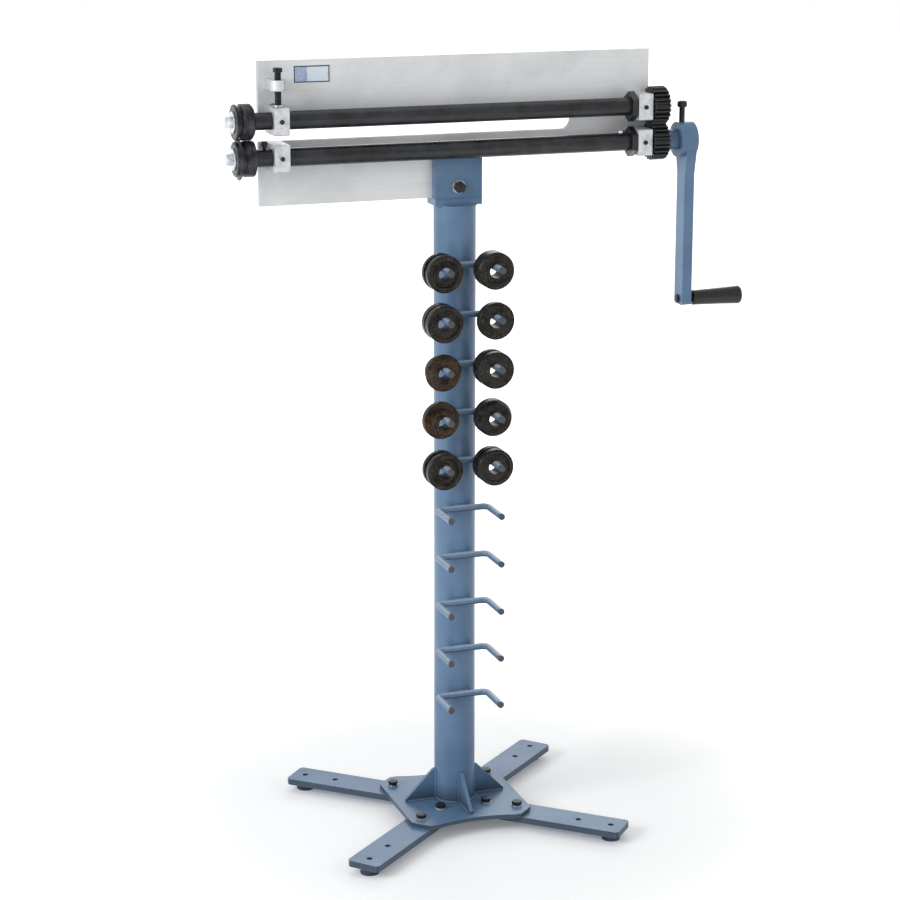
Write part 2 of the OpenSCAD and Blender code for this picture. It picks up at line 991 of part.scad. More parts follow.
// Bolt and washer that hold a die on
module shaft_screws() {
    washer_x = die_back_x - mounted_die_l - retainer_washer_t;
    shank_x = washer_x - retainer_head_h / 2;
    shank_end_x = washer_x + retainer_washer_t + retainer_depth;
    difference() {
        bar_x(washer_x, retainer_washer_t, retainer_washer_d);
        bar_x(washer_x - cut, retainer_washer_t + 2 * cut, retainer_d + 2 * press_gap);
    }
    bar_x(shank_x, shank_end_x - shank_x, retainer_d);
    hex_x(washer_x - retainer_head_h, retainer_head_h, retainer_head_af);
}

module sleeve_stud() {
    stud(sleeve_stud_x, sleeve_d, stud_stand, stud_head_h);
}

module upper_shaft_screws() {
    color("silver")
        at_upper() {
            shaft_screws();
            stud_to_rear() sleeve_stud();
        }
}

module lower_shaft_screws() {
    color("silver")
        at_lower() {
            shaft_screws();
            sleeve_stud();
            stud(stop_stud_x, shaft_d, stop_stud_stand, stop_stud_head_h);
        }
}

// Gear teeth: involute flanks from the base circle, straight below it
base_r = pitch_r * cos(gear_pressure);
root_depth_share = 1.35;
root_r = pitch_r - root_depth_share * gear_module;
flank_shares = [0, 0.25, 0.5, 0.75, 1];

function roll(r) = sqrt(max(0, pow(r / base_r, 2) - 1));
function involute(r) = roll(r) * 180 / PI - atan(roll(r));
function half_tooth(r) =
    90 / gear_teeth - gear_play / (4 * pitch_r) * 180 / PI + involute(pitch_r) - involute(r);
function flank_radii() = concat([root_r], [for (s = flank_shares) base_r + s * (tip_r - base_r)]);
function polar(r, a) = [r * cos(a), r * sin(a)];
function reversed(list) = [for (i = [len(list) - 1:-1:0]) list[i]];
function tooth(a) = concat(
    [for (r = flank_radii()) polar(r, a - half_tooth(r))],
    [for (r = reversed(flank_radii())) polar(r, a + half_tooth(r))]
);

// A gear on the local axis, with one tooth pointing straight up
module gear() {
    points = [for (i = [0:gear_teeth - 1]) each tooth(180 + i * 360 / gear_teeth)];
    translate([gear_x, 0, 0])
        rotate([0, 90, 0])
            difference() {
                intersection() {
                    linear_extrude(gear_w)
                        polygon(points);
                    rotate_extrude()
                        polygon([
                            [0, 0],
                            [tip_r + cut, 0],
                            [tip_r + cut, gear_w - gear_chamfer - cut],
                            [tip_r - gear_chamfer, gear_w],
                            [0, gear_w]
                        ]);
                }
                translate([0, 0, -cut])
                    cylinder(d = journal_d + 2 * press_gap, h = gear_w + 2 * cut);
            }
}

module upper_gear() {
    color(blackened) at_upper() gear();
}

module lower_gear() {
    color(blackened) at_lower() gear();
}

// A die turned from a bar: shares of its length from the back, and of its radius
module die(shares, l, r, bore) {
    rotate_extrude()
        polygon(concat(
            [[bore, 0]],
            [for (p = shares) [r * p[1], l * p[0]]],
            [[bore, l]]
        ));
}

// Mounted pair: the ridge of the lower die runs in the groove of the upper one
ridge_share = 1 + 2 * ridge_h / mounted_d;
groove_share = 1 - 2 * (ridge_h + die_gap) / mounted_d;
upper_die_shares = [
    [0, 0.8], [0.12, 0.97], [0.16, 1], [0.66, 1], [0.7, groove_share],
    [0.84, groove_share], [0.88, 0.98], [0.97, 0.98], [1, 0.94]
];
lower_die_shares = [
    [0, 0.98], [0.03, 1], [0.5, 1], [0.53, 0.96], [0.7, 0.96], [0.725, 1.05], [0.75, ridge_share],
    [0.79, ridge_share], [0.815, 1.05], [0.84, 0.96], [0.97, 0.96], [1, 0.88]
];

module mounted_die(shares) {
    translate([die_back_x, 0, 0])
        rotate([0, -90, 0])
            die(shares, mounted_die_l, mounted_d / 2, die_bore_d / 2);
}

module upper_die() {
    color(blackened) at_upper() mounted_die(upper_die_shares);
}

module lower_die() {
    color(blackened) at_lower() mounted_die(lower_die_shares);
}

// Crank
module crank_hub() {
    color(paint)
        at_lower()
            difference() {
                ring_x(hub_x, hub_l, hub_d, journal_d + 2 * press_gap);
                translate([hub_x + hub_l / 3, 0, hub_d / 2 - clamp_stud_depth])
                    cylinder(d = clamp_stud_d + 2 * press_gap, h = clamp_stud_depth + cut);
            }
}

module crank_arm() {
    half = arm_w / 2;
    shoulder = arm_shoulder_share * hub_d / 2;
    bottom = crank_r + arm_end;
    color(paint)
        at_lower()
            difference() {
                translate([arm_x, 0, 0])
                    rotate([90, 0, 90])
                        linear_extrude(arm_t)
                            polygon([
                                [-shoulder, -arm_flare_top + arm_corner],
                                [-shoulder, -arm_flare_top],
                                [-half, -arm_flare_z],
                                [-half, -bottom + arm_corner],
                                [-half + arm_corner, -bottom],
                                [half - arm_corner, -bottom],
                                [half, -bottom + arm_corner],
                                [half, -arm_flare_z],
                                [shoulder, -arm_flare_top],
                                [shoulder, -arm_flare_top + arm_corner]
                            ]);
                bar_x(hub_x, 2 * hub_l, hub_d);
                translate([0, 0, -crank_r])
                    bar_x(hub_x, 2 * hub_l, spindle_d + 2 * press_gap);
            }
}

module crank_clamp_bolt() {
    stud_seat = clamp_stud_head_h / 2;
    color(blackened)
        at_lower()
            translate([hub_x + hub_l / 3, 0, hub_d / 2]) {
                translate([0, 0, -clamp_stud_depth])
                    cylinder(d = clamp_stud_d, h = clamp_stud_depth + clamp_stud_stand + stud_seat);
                translate([0, 0, clamp_stud_stand])
                    cylinder(d = clamp_stud_head_d, h = clamp_stud_head_h);
            }
}

// Shoulder bolt that the grip turns on, with its nut on the inner side of the arm
module grip_spindle() {
    nut_x = arm_x - spindle_nut_l;
    head_x = grip_x + grip_l - spindle_head_l;
    color(blackened)
        translate([0, shaft_y, grip_z]) {
            bar_x(nut_x - spindle_end, head_x - nut_x + spindle_end + spindle_head_l / 2, spindle_d);
            hex_x(nut_x, spindle_nut_l, spindle_nut_af);
            bar_x(arm_x + arm_t, spindle_collar_l, spindle_collar_d);
            bar_x(head_x, spindle_head_l, spindle_head_d);
        }
}

module crank_grip() {
    recess = spindle_head_l + seat_gap;
    color("black")
        translate([grip_x, shaft_y, grip_z])
            rotate([0, 90, 0])
                difference() {
                    rotate_extrude()
                        polygon([
                            [0, 0],
                            [grip_neck_d / 2 - grip_round / 2, 0],
                            [grip_neck_d / 2, grip_round / 2],
                            [grip_end_d / 2, grip_l - grip_round],
                            [grip_end_d / 2 - grip_round / 3, grip_l - grip_round / 3],
                            [grip_end_d / 2 - grip_round, grip_l],
                            [0, grip_l]
                        ]);
                    translate([0, 0, -cut])
                        cylinder(d = spindle_d + 2 * run_gap, h = grip_l + 2 * cut);
                    translate([0, 0, grip_l - recess])
                        cylinder(d = spindle_head_d + 2 * seat_gap, h = recess + cut);
                }
}

// Spare dies on the five upper rods: each profile in shares of length and radius
grooved_shares = [
    [0, 0.94], [0.04, 1], [0.3, 1], [0.34, 0.72], [0.6, 0.72], [0.64, 1], [0.94, 1],
    [1, 0.94], [1, 0.72], [0.93, 0.68], [0.93, 0.52], [1, 0.5]
];
plain_shares = [[0, 0.92], [0.1, 1], [0.9, 1], [1, 0.92], [1, 0.62], [0.96, 0.6], [0.96, 0.46]];
shallow_groove_shares = [
    [0, 0.96], [0.03, 1], [0.4, 1], [0.42, 0.82], [0.56, 0.82], [0.58, 1], [0.95, 1],
    [1, 0.95], [1, 0.78], [0.9, 0.74], [0.9, 0.46]
];
stepped_shares = [
    [0, 0.7], [0.04, 0.74], [0.56, 0.74], [0.56, 0.98], [0.6, 1], [0.96, 1], [1, 0.96], [1, 0.5]
];
ridged_shares = [
    [0, 0.84], [0.46, 0.84], [0.5, 0.93], [0.56, 1], [0.66, 1], [0.72, 0.93], [0.76, 0.84],
    [0.96, 0.84], [1, 0.8], [1, 0.5], [0.95, 0.48]
];
flanged_shares = [
    [0, 0.96], [0.04, 1], [0.34, 1], [0.38, 0.88], [0.6, 0.88], [0.64, 1], [0.96, 1], [1, 0.95]
];
spool_shares = [
    [0, 0.97], [0.04, 1], [0.36, 1], [0.4, 0.97], [0.42, 0.68], [0.97, 0.68], [1, 0.64], [1, 0.5]
];
bevelled_shares = [[0, 0.9], [0.14, 1], [0.7, 1], [1, 0.84], [1, 0.56], [0.95, 0.54]];

module stored_die(row, side, shares) {
    color(oiled)
        translate([side * hook_half_w, stored_back_y, hook_top_z - row * hook_spacing - stored_drop])
            rotate([90, 0, 0])
                die(shares, stored_die_l, die_d / 2, journal_d / 2);
}

module stored_die_1_left() {
    stored_die(0, -1, grooved_shares);
}

module stored_die_1_right() {
    stored_die(0, 1, plain_shares);
}

module stored_die_2_left() {
    stored_die(1, -1, shallow_groove_shares);
}

module stored_die_2_right() {
    stored_die(1, 1, stepped_shares);
}

module stored_die_3_left() {
    stored_die(2, -1, ridged_shares);
}

module stored_die_3_right() {
    stored_die(2, 1, flanged_shares);
}

module stored_die_4_left() {
    stored_die(3, -1, spool_shares);
}

module stored_die_4_right() {
    stored_die(3, 1, bevelled_shares);
}

module stored_die_5_left() {
    stored_die(4, -1, grooved_shares);
}

module stored_die_5_right() {
    stored_die(4, 1, shallow_groove_shares);
}

base_plate();
leg_front_left();
leg_front_right();
leg_back_left();
leg_back_right();
foot_bosses();
foot_pads();
base_bolts();
base_washers();
base_nuts();
column_tube();
column_cap();
column_gussets();
hook_rods();
bracket_base();
bracket_cheeks();
bracket_fasteners();
frame_plate();
nameplate();
plate_screws();
lower_front_block();
lower_rear_block();
lower_bushes();
lower_grease_nipples();
upper_front_block();
upper_rear_block();
upper_bushes();
upper_grease_nipples();
carriage_bolts();
adjuster_lug();
adjusting_screw();
thrust_washer();
upper_shaft();
upper_sleeve();
upper_collar();
upper_gear();
upper_die();
upper_shaft_screws();
lower_shaft();
lower_sleeve();
lower_collars();
lower_gear();
lower_die();
lower_shaft_screws();
crank_hub();
crank_arm();
crank_clamp_bolt();
grip_spindle();
crank_grip();
stored_die_1_left();
stored_die_1_right();
stored_die_2_left();
stored_die_2_right();
stored_die_3_left();
stored_die_3_right();
stored_die_4_left();
stored_die_4_right();
stored_die_5_left();
stored_die_5_right();
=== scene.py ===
import math
from functools import partial

import bpy
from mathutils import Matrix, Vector


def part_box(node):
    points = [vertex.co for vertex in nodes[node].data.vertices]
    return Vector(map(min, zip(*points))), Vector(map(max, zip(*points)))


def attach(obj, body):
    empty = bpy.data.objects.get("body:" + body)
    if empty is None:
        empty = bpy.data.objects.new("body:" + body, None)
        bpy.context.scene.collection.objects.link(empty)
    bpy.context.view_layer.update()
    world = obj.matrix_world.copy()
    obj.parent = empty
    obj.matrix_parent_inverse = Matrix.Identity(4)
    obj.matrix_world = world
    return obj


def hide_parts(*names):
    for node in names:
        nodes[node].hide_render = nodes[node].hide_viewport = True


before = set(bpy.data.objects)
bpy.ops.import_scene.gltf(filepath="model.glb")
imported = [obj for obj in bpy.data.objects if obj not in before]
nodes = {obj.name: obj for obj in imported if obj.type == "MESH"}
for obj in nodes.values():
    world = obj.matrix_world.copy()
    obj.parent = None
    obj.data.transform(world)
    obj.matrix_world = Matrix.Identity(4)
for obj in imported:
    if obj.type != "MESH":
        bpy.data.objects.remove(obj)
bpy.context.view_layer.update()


# Camera: a long lens a little above the dies, to the left of the machine's front.
# Its place was worked out from the photograph's edges and the machine's size.
camera_place = Vector((-1.4329, -4.1128, 1.8367))
camera_target = Vector((-0.0078, 0.0027, 0.7104))
camera_lens_mm = 98.49

camera = bpy.data.objects.new("camera", bpy.data.cameras.new("camera"))
camera.data.lens = camera_lens_mm
camera.data.clip_end = 60.0
camera.location = camera_place
camera.rotation_euler = (camera_target - camera_place).to_track_quat("-Z", "Y").to_euler()
bpy.context.scene.collection.objects.link(camera)
bpy.context.scene.camera = camera


# Studio: a white floor, white surroundings and four soft boxes, the strongest from the upper left.
# The background is white by its own colour; the boxes only bring the paint to its plain level.
floor_side = 30.0
floor_colour = "#f4f5f6"
floor_lift = 0.14
floor_near, floor_far = 0.35, 1.5
world_strength = 0.5
soft_boxes = [("box_left", (-4.0, -1.4, 2.5), (0.0, 0.0, 0.8), 2.0, 115.0),
    ("box_right", (3.0, -2.6, 2.2), (0.0, 0.0, 0.8), 1.6, 17.0),
    ("box_top", (0.2, 0.4, 4.2), (0.0, 0.0, 0.6), 2.6, 14.0),
    ("box_back", (1.6, 3.6, 2.6), (0.0, 0.0, 0.9), 1.8, 26.0)]


def linear(code):
    """An sRGB hex colour as the linear colour that a socket takes."""
    parts = [int(code[i:i + 2], 16) / 255 for i in (1, 3, 5)]
    return (*[c / 12.92 if c <= 0.04045 else ((c + 0.055) / 1.055) ** 2.4 for c in parts], 1.0)


def add(where, kind, inputs=(), **settings):
    """Adds a node to the tree that holds the node or output given as where, or to that tree itself.
    Each input is a value, a node (its first output) or one of a node's outputs."""
    tree = where.id_data
    made = tree.nodes.new(kind)
    for name, value in settings.items():
        setattr(made, name, value)
    for socket, value in dict(inputs).items():
        if isinstance(value, bpy.types.Node):
            value = value.outputs[0]
        if isinstance(value, bpy.types.NodeSocket):
            tree.links.new(value, made.inputs[socket])
        else:
            made.inputs[socket].default_value = value
    return made


def home(*values):
    """The first node or output among some values."""
    return next(value for value in values if isinstance(value, (bpy.types.Node, bpy.types.NodeSocket)))


def maths(operation, *values, **settings):
    """One step of arithmetic; the names below stand for the commonest."""
    return add(home(*values), "ShaderNodeMath", dict(enumerate(values)), operation=operation, **settings)


plus, minus, times, times_plus = (partial(maths, step) for step in (
    "ADD", "SUBTRACT", "MULTIPLY", "MULTIPLY_ADD"))
less, more, absolute = (partial(maths, step) for step in ("LESS_THAN", "GREATER_THAN", "ABSOLUTE"))


def ramp(value, low, high, at_low=0.0, at_high=1.0):
    """Stretches low..high to at_low..at_high and holds it beyond."""
    return add(value, "ShaderNodeMapRange", {0: value, 1: low, 2: high, 3: at_low, 4: at_high})


def axes(vector):
    """The three parts of a vector."""
    return add(vector, "ShaderNodeSeparateXYZ", {0: vector}).outputs


def noise(place, scale, detail=2.0, roughness=0.5, distortion=0.0):
    """A cloudy pattern; its scale is in clouds per metre."""
    return add(place, "ShaderNodeTexNoise", {"Vector": place, "Scale": scale, "Detail": detail,
        "Roughness": roughness, "Distortion": distortion})


def stretched(place, *scales):
    """The place with each axis scaled, for patterns that run along the piece."""
    return add(place, "ShaderNodeMapping", {"Vector": place, "Scale": scales})


def blend(share, first, second):
    """The first colour at 0 and the second at 1; a colour is a hex code or an output."""
    inputs = {0: share, 6: first, 7: second}
    plain = {socket: linear(value) for socket, value in inputs.items() if isinstance(value, str)}
    return add(home(share, first, second), "ShaderNodeMix", {**inputs, **plain},
        data_type="RGBA").outputs[2]


def bump(strength, depth, height, normal=None):
    """Relief of a depth in metres, over a direction if one is given."""
    inputs = {"Strength": strength, "Distance": depth, "Height": height}
    return add(height, "ShaderNodeBump", inputs if normal is None else {**inputs, "Normal": normal})


def feed(node, **values):
    """Links nodes or outputs to sockets of a node that is already there; _ stands for a space."""
    for socket, value in values.items():
        value = value.outputs[0] if isinstance(value, bpy.types.Node) else value
        node.id_data.links.new(value, node.inputs[socket.replace("_", " ")])


def seen_directly(where):
    """1 for what the camera sees straight, in a reflection or through glass."""
    rays = add(where, "ShaderNodeLightPath").outputs
    return plus(plus(rays["Is Camera Ray"], rays["Is Glossy Ray"]), rays["Is Transmission Ray"],
        use_clamp=True)


def soft_surface(name, colour, **constant):
    """A material, its one shader with plain values on its own sockets, and the place on the piece."""
    material = bpy.data.materials.new(name)
    material.use_nodes = True
    tree = material.node_tree
    tree.nodes.clear()
    shader = add(tree, "ShaderNodeBsdfPrincipled", {"Base Color": linear(colour)})
    for socket, value in constant.items():
        shader.inputs[socket.replace("_", " ")].default_value = value
    add(tree, "ShaderNodeOutputMaterial", {"Surface": shader})
    return material, shader, add(tree, "ShaderNodeTexCoord").outputs["Object"]


studio_white, shader, place = soft_surface("painted studio floor", floor_colour, Roughness=0.9,
    Emission_Color=(1, 1, 1, 1))
# Near the machine the floor keeps its shadow; further out it turns to the white of the backdrop.
away = add(place, "ShaderNodeVectorMath", {0: place}, operation="LENGTH").outputs["Value"]
away = add(place, "ShaderNodeMapRange", {0: away, 1: floor_near, 2: floor_far, 3: floor_lift, 4: 1.0},
    interpolation_type="SMOOTHSTEP")
feed(shader, Emission_Strength=times(seen_directly(place), away))

half = floor_side / 2
floor_mesh = bpy.data.meshes.new("floor")
floor_mesh.from_pydata([(-half, -half, 0), (half, -half, 0), (half, half, 0), (-half, half, 0)], [],
    [(0, 1, 2, 3)])
floor_mesh.materials.append(studio_white)
floor = bpy.data.objects.new("floor", floor_mesh)
bpy.context.scene.collection.objects.link(floor)

world = bpy.data.worlds.new("surroundings")
world.use_nodes = True
tree = world.node_tree
tree.nodes.clear()
strength = ramp(seen_directly(tree), 0, 1, world_strength, 1)
light = add(tree, "ShaderNodeBackground", {"Color": (1, 1, 1, 1), "Strength": strength})
add(tree, "ShaderNodeOutputWorld", {"Surface": light})
bpy.context.scene.world = world
bpy.context.scene.view_settings.view_transform = "Standard"

for name, place, aim, side, power in soft_boxes:
    lamp = bpy.data.lights.new(name, "AREA")
    lamp.size = side
    lamp.energy = power
    lamp_object = bpy.data.objects.new(name, lamp)
    lamp_object.location = place
    lamp_object.rotation_euler = (Vector(aim) - Vector(place)).to_track_quat("-Z", "Y").to_euler()
    bpy.context.scene.collection.objects.link(lamp_object)


# Foot pads: four discs of black rubber, moulded with a rounded rim and glued under the bosses.
# Each is turned from its half section by a geometry tree, which also makes every other round piece.
pad_colour = "#38393c"
pad_dust = "#56585a"
merge_distance = 0.000002
up, forward, backward = (0, 0, 1), (0, -1, 0), (0, 1, 0)
to_left, to_right = (-1, 0, 0), (1, 0, 0)
pad_section = [(0.0055, 0), (0.017, 0), (0.017, 0.0035), (0.0155, 0.005), (0.0055, 0.005)]


def geometry_tree(name, sizes):
    """A geometry tree with a mesh coming in and named sizes as its other inputs."""
    tree = bpy.data.node_groups.new(name, "GeometryNodeTree")
    tree.interface.new_socket("Mesh", in_out="INPUT", socket_type="NodeSocketGeometry")
    for size, kind in sizes.items():
        tree.interface.new_socket(size, in_out="INPUT", socket_type="NodeSocket" + kind)
    tree.interface.new_socket("Mesh", in_out="OUTPUT", socket_type="NodeSocketGeometry")
    return tree, add(tree, "NodeGroupInput").outputs


def shape(tree, kind, inputs=(), **settings):
    """Adds one of the geometry nodes to a tree."""
    return add(tree, "GeometryNode" + kind, inputs, **settings)


def around(radius, angle, height):
    """A place given by its distance from the Z axis, its angle in radians and its height."""
    x, y = times(radius, maths("COSINE", angle)), times(radius, maths("SINE", angle))
    return add(angle, "ShaderNodeCombineXYZ", {0: x, 1: y, 2: height})


def last_steps(tree, mesh, material, sharp_degrees=32.0):
    """Ends a tree: real meshes, smooth faces with sharp edges between them, and the finish."""
    mesh = shape(tree, "RealizeInstances", {0: mesh})
    mesh = shape(tree, "SetShadeSmooth", {0: mesh, "Shade Smooth": True}, domain="FACE")
    bend = shape(tree, "InputMeshEdgeAngle")
    sharp = add(tree, "FunctionNodeCompare", {0: bend.outputs[0], 1: math.radians(sharp_degrees)},
        operation="GREATER_THAN")
    mesh = shape(tree, "SetShadeSmooth", {0: mesh, "Selection": sharp, "Shade Smooth": False},
        domain="EDGE")
    mesh = shape(tree, "SetMaterial", {0: mesh, "Material": material})
    add(tree, "NodeGroupOutput", {0: mesh})


def put_in_place(tree, body, given):
    """Joins a round body's edges, then stands it along the given axis at the given place."""
    body = shape(tree, "MergeByDistance", {0: body, "Distance": merge_distance})
    heading = add(tree, "FunctionNodeAlignRotationToVector", {"Vector": given["Axis"]}, axis="Z")
    return shape(tree, "Transform", {0: body, "Translation": given["Place"], "Rotation": heading})


def grown(name, kind, points, edges, sizes):
    """Runs a geometry tree on a few points or lines, and keeps the plain mesh that it makes."""
    tree = bpy.data.node_groups[kind]
    start = bpy.data.meshes.new(name)
    start.from_pydata(points, edges, [])
    piece = bpy.data.objects.new(name, start)
    bpy.context.scene.collection.objects.link(piece)
    step = piece.modifiers.new("tree", "NODES")
    step.node_group = tree
    for socket in tree.interface.items_tree:
        if socket.item_type == "SOCKET" and socket.in_out == "INPUT" and socket.name in sizes:
            step[socket.identifier] = sizes[socket.name]
    even = piece.modifiers.new("normals", "WEIGHTED_NORMAL")
    even.keep_sharp = True
    graph = bpy.context.evaluated_depsgraph_get()
    mesh = bpy.data.meshes.new_from_object(piece.evaluated_get(graph))
    piece.modifiers.clear()
    piece.data = mesh
    mesh.name = name
    return piece


tree, given = geometry_tree("turned piece", {"Segments": "Int", "Edge round": "Float", "Place": "Vector",
    "Axis": "Vector", "Material": "Material"})
section = shape(tree, "MeshToCurve", {0: given["Mesh"]})
across = axes(shape(tree, "InputPosition"))[0]
edge_round = times(given["Edge round"], more(across, 0.0001))
section = shape(tree, "FilletCurve", {0: section, "Count": 3, "Radius": edge_round, "Limit Radius": True},
    mode="POLY")
count = shape(tree, "AttributeDomainSize", {0: section}, component="CURVE")
columns = plus(given["Segments"], 1)
sheet = shape(tree, "MeshGrid", {0: 1, 1: 1, 2: columns, 3: plus(count, 1)})
flat = axes(shape(tree, "InputPosition"))
angle = times(plus(flat[0], 0.5), math.tau)
row = maths("MODULO", maths("ROUND", times(plus(flat[1], 0.5), count)), count)
position = shape(tree, "InputPosition")
point = axes(shape(tree, "SampleIndex", {0: section, 1: position, 2: row}, data_type="FLOAT_VECTOR"))
turned = around(point[0], angle, point[2])
marks = add(tree, "ShaderNodeCombineXYZ", {0: point[0], 1: angle, 2: point[2]})
body = shape(tree, "StoreNamedAttribute", {0: sheet, "Name": "lathe", 3: marks}, data_type="FLOAT_VECTOR",
    domain="POINT")
body = shape(tree, "SetPosition", {0: body, "Position": turned})
last_steps(tree, put_in_place(tree, body, given), given["Material"])


def centre(name):
    """The middle of the box around a CAD node."""
    low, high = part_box(name)
    return [(a + b) / 2 for a, b in zip(low, high)]


def ring(bore, radius, thickness):
    """The half section of a flat ring."""
    return [(bore, 0), (radius, 0), (radius, thickness), (bore, thickness)]


def turned_piece(name, section, place, axis, material, edge, segments):
    """A round piece from its half section (radius, height), which runs along the axis from its place."""
    points = [(radius, 0.0, height) for radius, height in section]
    loop = [(i, (i + 1) % len(points)) for i in range(len(points))]
    return grown(name, "turned piece", points, loop, {"Segments": segments, "Edge round": edge,
        "Place": place, "Axis": axis, "Material": material})


moulded_rubber, shader, place = soft_surface("moulded black rubber", pad_colour, Roughness=0.78)
dust = ramp(noise(place, 160, 4), 0.45, 0.75)
feed(shader, Base_Color=blend(dust, pad_colour, pad_dust), Normal=bump(0.35, 0.0004, noise(place, 900)))

low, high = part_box("foot_pads")
pad_x = high.x - pad_section[1][0]
pad_y = high.y - pad_section[1][0]
for name, x, y in (("front_left", -pad_x, -pad_y), ("front_right", pad_x, -pad_y),
        ("back_left", -pad_x, pad_y), ("back_right", pad_x, pad_y)):
    pad = turned_piece("pad_" + name, pad_section, (x, y, 0.0), up, moulded_rubber, 0.0008, 64)
    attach(pad, "stand")
    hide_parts("foot_pads")


# Legs and base plate: flat mild steel bar and plate, sawn and drilled, with bosses welded under the feet.
# The stand is sprayed with one coat of satin blue enamel, which thins at the edges and covers the welds; its
# lighter edges are partly thinner enamel and partly a painted highlight.
enamel_blue = "#5a7797"
enamel_light = "#6b88a6"
enamel_deep = "#486585"
thin_enamel_and_highlight = "#869eb6"
painted_shade_blue = "#36414e"
bare_steel = "#7d7f82"
sawn_end = "#454a51"
painted_rod_highlight = "#aab7c6"
weld_ripple = 0.0026
bead_sink = 0.0006


def edge_normal(place, reach):
    """The surface's direction, rounded over near each edge, as paint or a file leaves it."""
    return add(place, "ShaderNodeBevel", {"Radius": reach}, samples=6).outputs[0]


def edge_wear(rounded, breakup, least=0.03):
    """1 on the outermost line of an edge and 0 on the flat, broken up by a pattern."""
    true = add(rounded, "ShaderNodeNewGeometry").outputs["Normal"]
    lean = add(rounded, "ShaderNodeVectorMath", {0: rounded, 1: true},
        operation="DOT_PRODUCT").outputs["Value"]
    return ramp(times(minus(1, lean), breakup), least, least * 3)


def sprayed_enamel(name, worn_from=None):
    """Blue enamel with painted shade low on upright faces; dies rub it down to bare steel in front of the
    depth worn_from, where one is given, and there the rods also get a painted highlight on top and painted
    shade below.
    """
    material, shader, place = soft_surface(name, enamel_blue, Roughness=0.36, Specular_IOR_Level=0.35)
    drift = ramp(noise(place, 11, 3), 0.35, 0.68)
    tone = blend(0.55, blend(drift, enamel_deep, enamel_light), enamel_blue)
    speck = noise(place, 190, 5, 0.7)
    tone = blend(ramp(speck, 0.6, 0.78, 0, 0.3), tone, enamel_deep)
    # The upright faces close to the floor are darkened with painted shade.
    upright = add(place, "ShaderNodeNewGeometry").outputs["True Normal"]
    upright = ramp(absolute(axes(upright)["Z"]), 0.3, 0.7, 0.85, 0)
    low_down = ramp(axes(place)["Z"], 0.04, 0.07, 1, 0)
    tone = blend(times(upright, low_down), tone, painted_shade_blue)
    rounded = edge_normal(place, 0.0012)
    # Every edge is drawn lighter: partly thinner enamel, partly a painted highlight.
    tone = blend(times(edge_wear(rounded, 1), 0.7), tone, thin_enamel_and_highlight)
    chips = edge_wear(rounded, ramp(speck, 0.56, 0.66), 0.1)
    if worn_from is not None:
        depth = axes(place)["Y"]
        ragged = times_plus(speck, 0.012, worn_from - 0.006)
        rubbed = ramp(minus(ragged, depth), 0, 0.003)
        chips = maths("MAXIMUM", chips, rubbed)
        facing = axes(add(place, "ShaderNodeNewGeometry").outputs["True Normal"])
        end = times(less(facing["Y"], -0.9), less(depth, worn_from))
        chips = times(chips, minus(1, end))
        # The tops of the rods are painted lighter as a painted highlight, and their undersides darker as
        # painted shade.
        slope = times_plus(speck, 0.6, facing["Z"])
        tone = blend(ramp(slope, 0.75, 1.15, 0, 0.8), tone, painted_rod_highlight)
        tone = blend(ramp(slope, 0.3, -0.1, 0, 0.7), tone, painted_shade_blue)
        tone = blend(end, tone, sawn_end)
    tone = blend(chips, tone, bare_steel)
    feed(shader, Base_Color=tone, Metallic=times(chips, 0.85), Roughness=ramp(speck, 0.3, 0.7, 0.3, 0.42))
    # Orange peel is about 2 mm across; the sprayed film is a tenth of a millimetre thick.
    feed(shader, Normal=bump(0.22, 0.0003, noise(place, 420), rounded))
    return material


def give(material, *names):
    """Puts a finish on CAD nodes that keep their own shape."""
    for name in names:
        for slot in nodes[name].material_slots:
            slot.material = material


satin_enamel = sprayed_enamel("sprayed blue enamel on steel")
give(satin_enamel, "leg_front_left", "leg_front_right", "leg_back_left", "leg_back_right", "foot_bosses",
    "base_plate")

tree, given = geometry_tree("weld bead", {"Bead radius": "Float", "Ripple length": "Float",
    "Ripple share": "Float", "Seed": "Int", "Material": "Material"})
seam = shape(tree, "MeshToCurve", {0: given["Mesh"]})
step = maths("DIVIDE", given["Ripple length"], 5)
seam = shape(tree, "ResampleCurve", {0: seam, "Length": step}, mode="LENGTH")
along = shape(tree, "SplineParameter").outputs["Length"]
along = maths("DIVIDE", along, given["Ripple length"])
uneven = add(tree, "ShaderNodeTexNoise", {"W": given["Seed"], "Scale": 300.0, "Detail": 2.0},
    noise_dimensions="4D")
along = times_plus(uneven, 0.8, along)
ripple = plus(plus(maths("POWER", maths("FRACT", along, 1), 0.6), uneven), -1)
swell = times_plus(ripple, given["Ripple share"], 1)
radius = times(swell, given["Bead radius"])
round_bead = shape(tree, "CurvePrimitiveCircle", {"Resolution": 9, "Radius": 1.0})
bead = shape(tree, "CurveToMesh", {0: seam, "Profile Curve": round_bead, "Scale": radius,
    "Fill Caps": True})
last_steps(tree, bead, given["Material"], 60.0)


def weld(name, seams, radius, seed, body="stand"):
    """Weld beads along seams, each a list of points, under the same enamel as what they join."""
    points, edges = [], []
    for seam in seams:
        first = len(points)
        points += seam
        edges += [(first + i, first + i + 1) for i in range(len(seam) - 1)]
    bead = grown(name, "weld bead", points, edges, {"Bead radius": radius, "Ripple length": weld_ripple,
        "Ripple share": 0.22, "Seed": seed, "Material": satin_enamel})
    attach(bead, body)


def arc(middle, radius, z, start, end, steps=24):
    """Points on part of a level circle, angles in degrees."""
    angles = [math.radians(start + (end - start) * i / steps) for i in range(steps + 1)]
    return [(middle[0] + radius * math.cos(a), middle[1] + radius * math.sin(a), z) for a in angles]


boss_radius = 0.015
boss_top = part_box("foot_bosses")[1].z
weld("welds_feet", [arc((sx * pad_x, sy * pad_y), boss_radius + 0.0004, boss_top - bead_sink, 0, 360, 48)
    for sx in (-1, 1) for sy in (-1, 1)], 0.0016, 3)


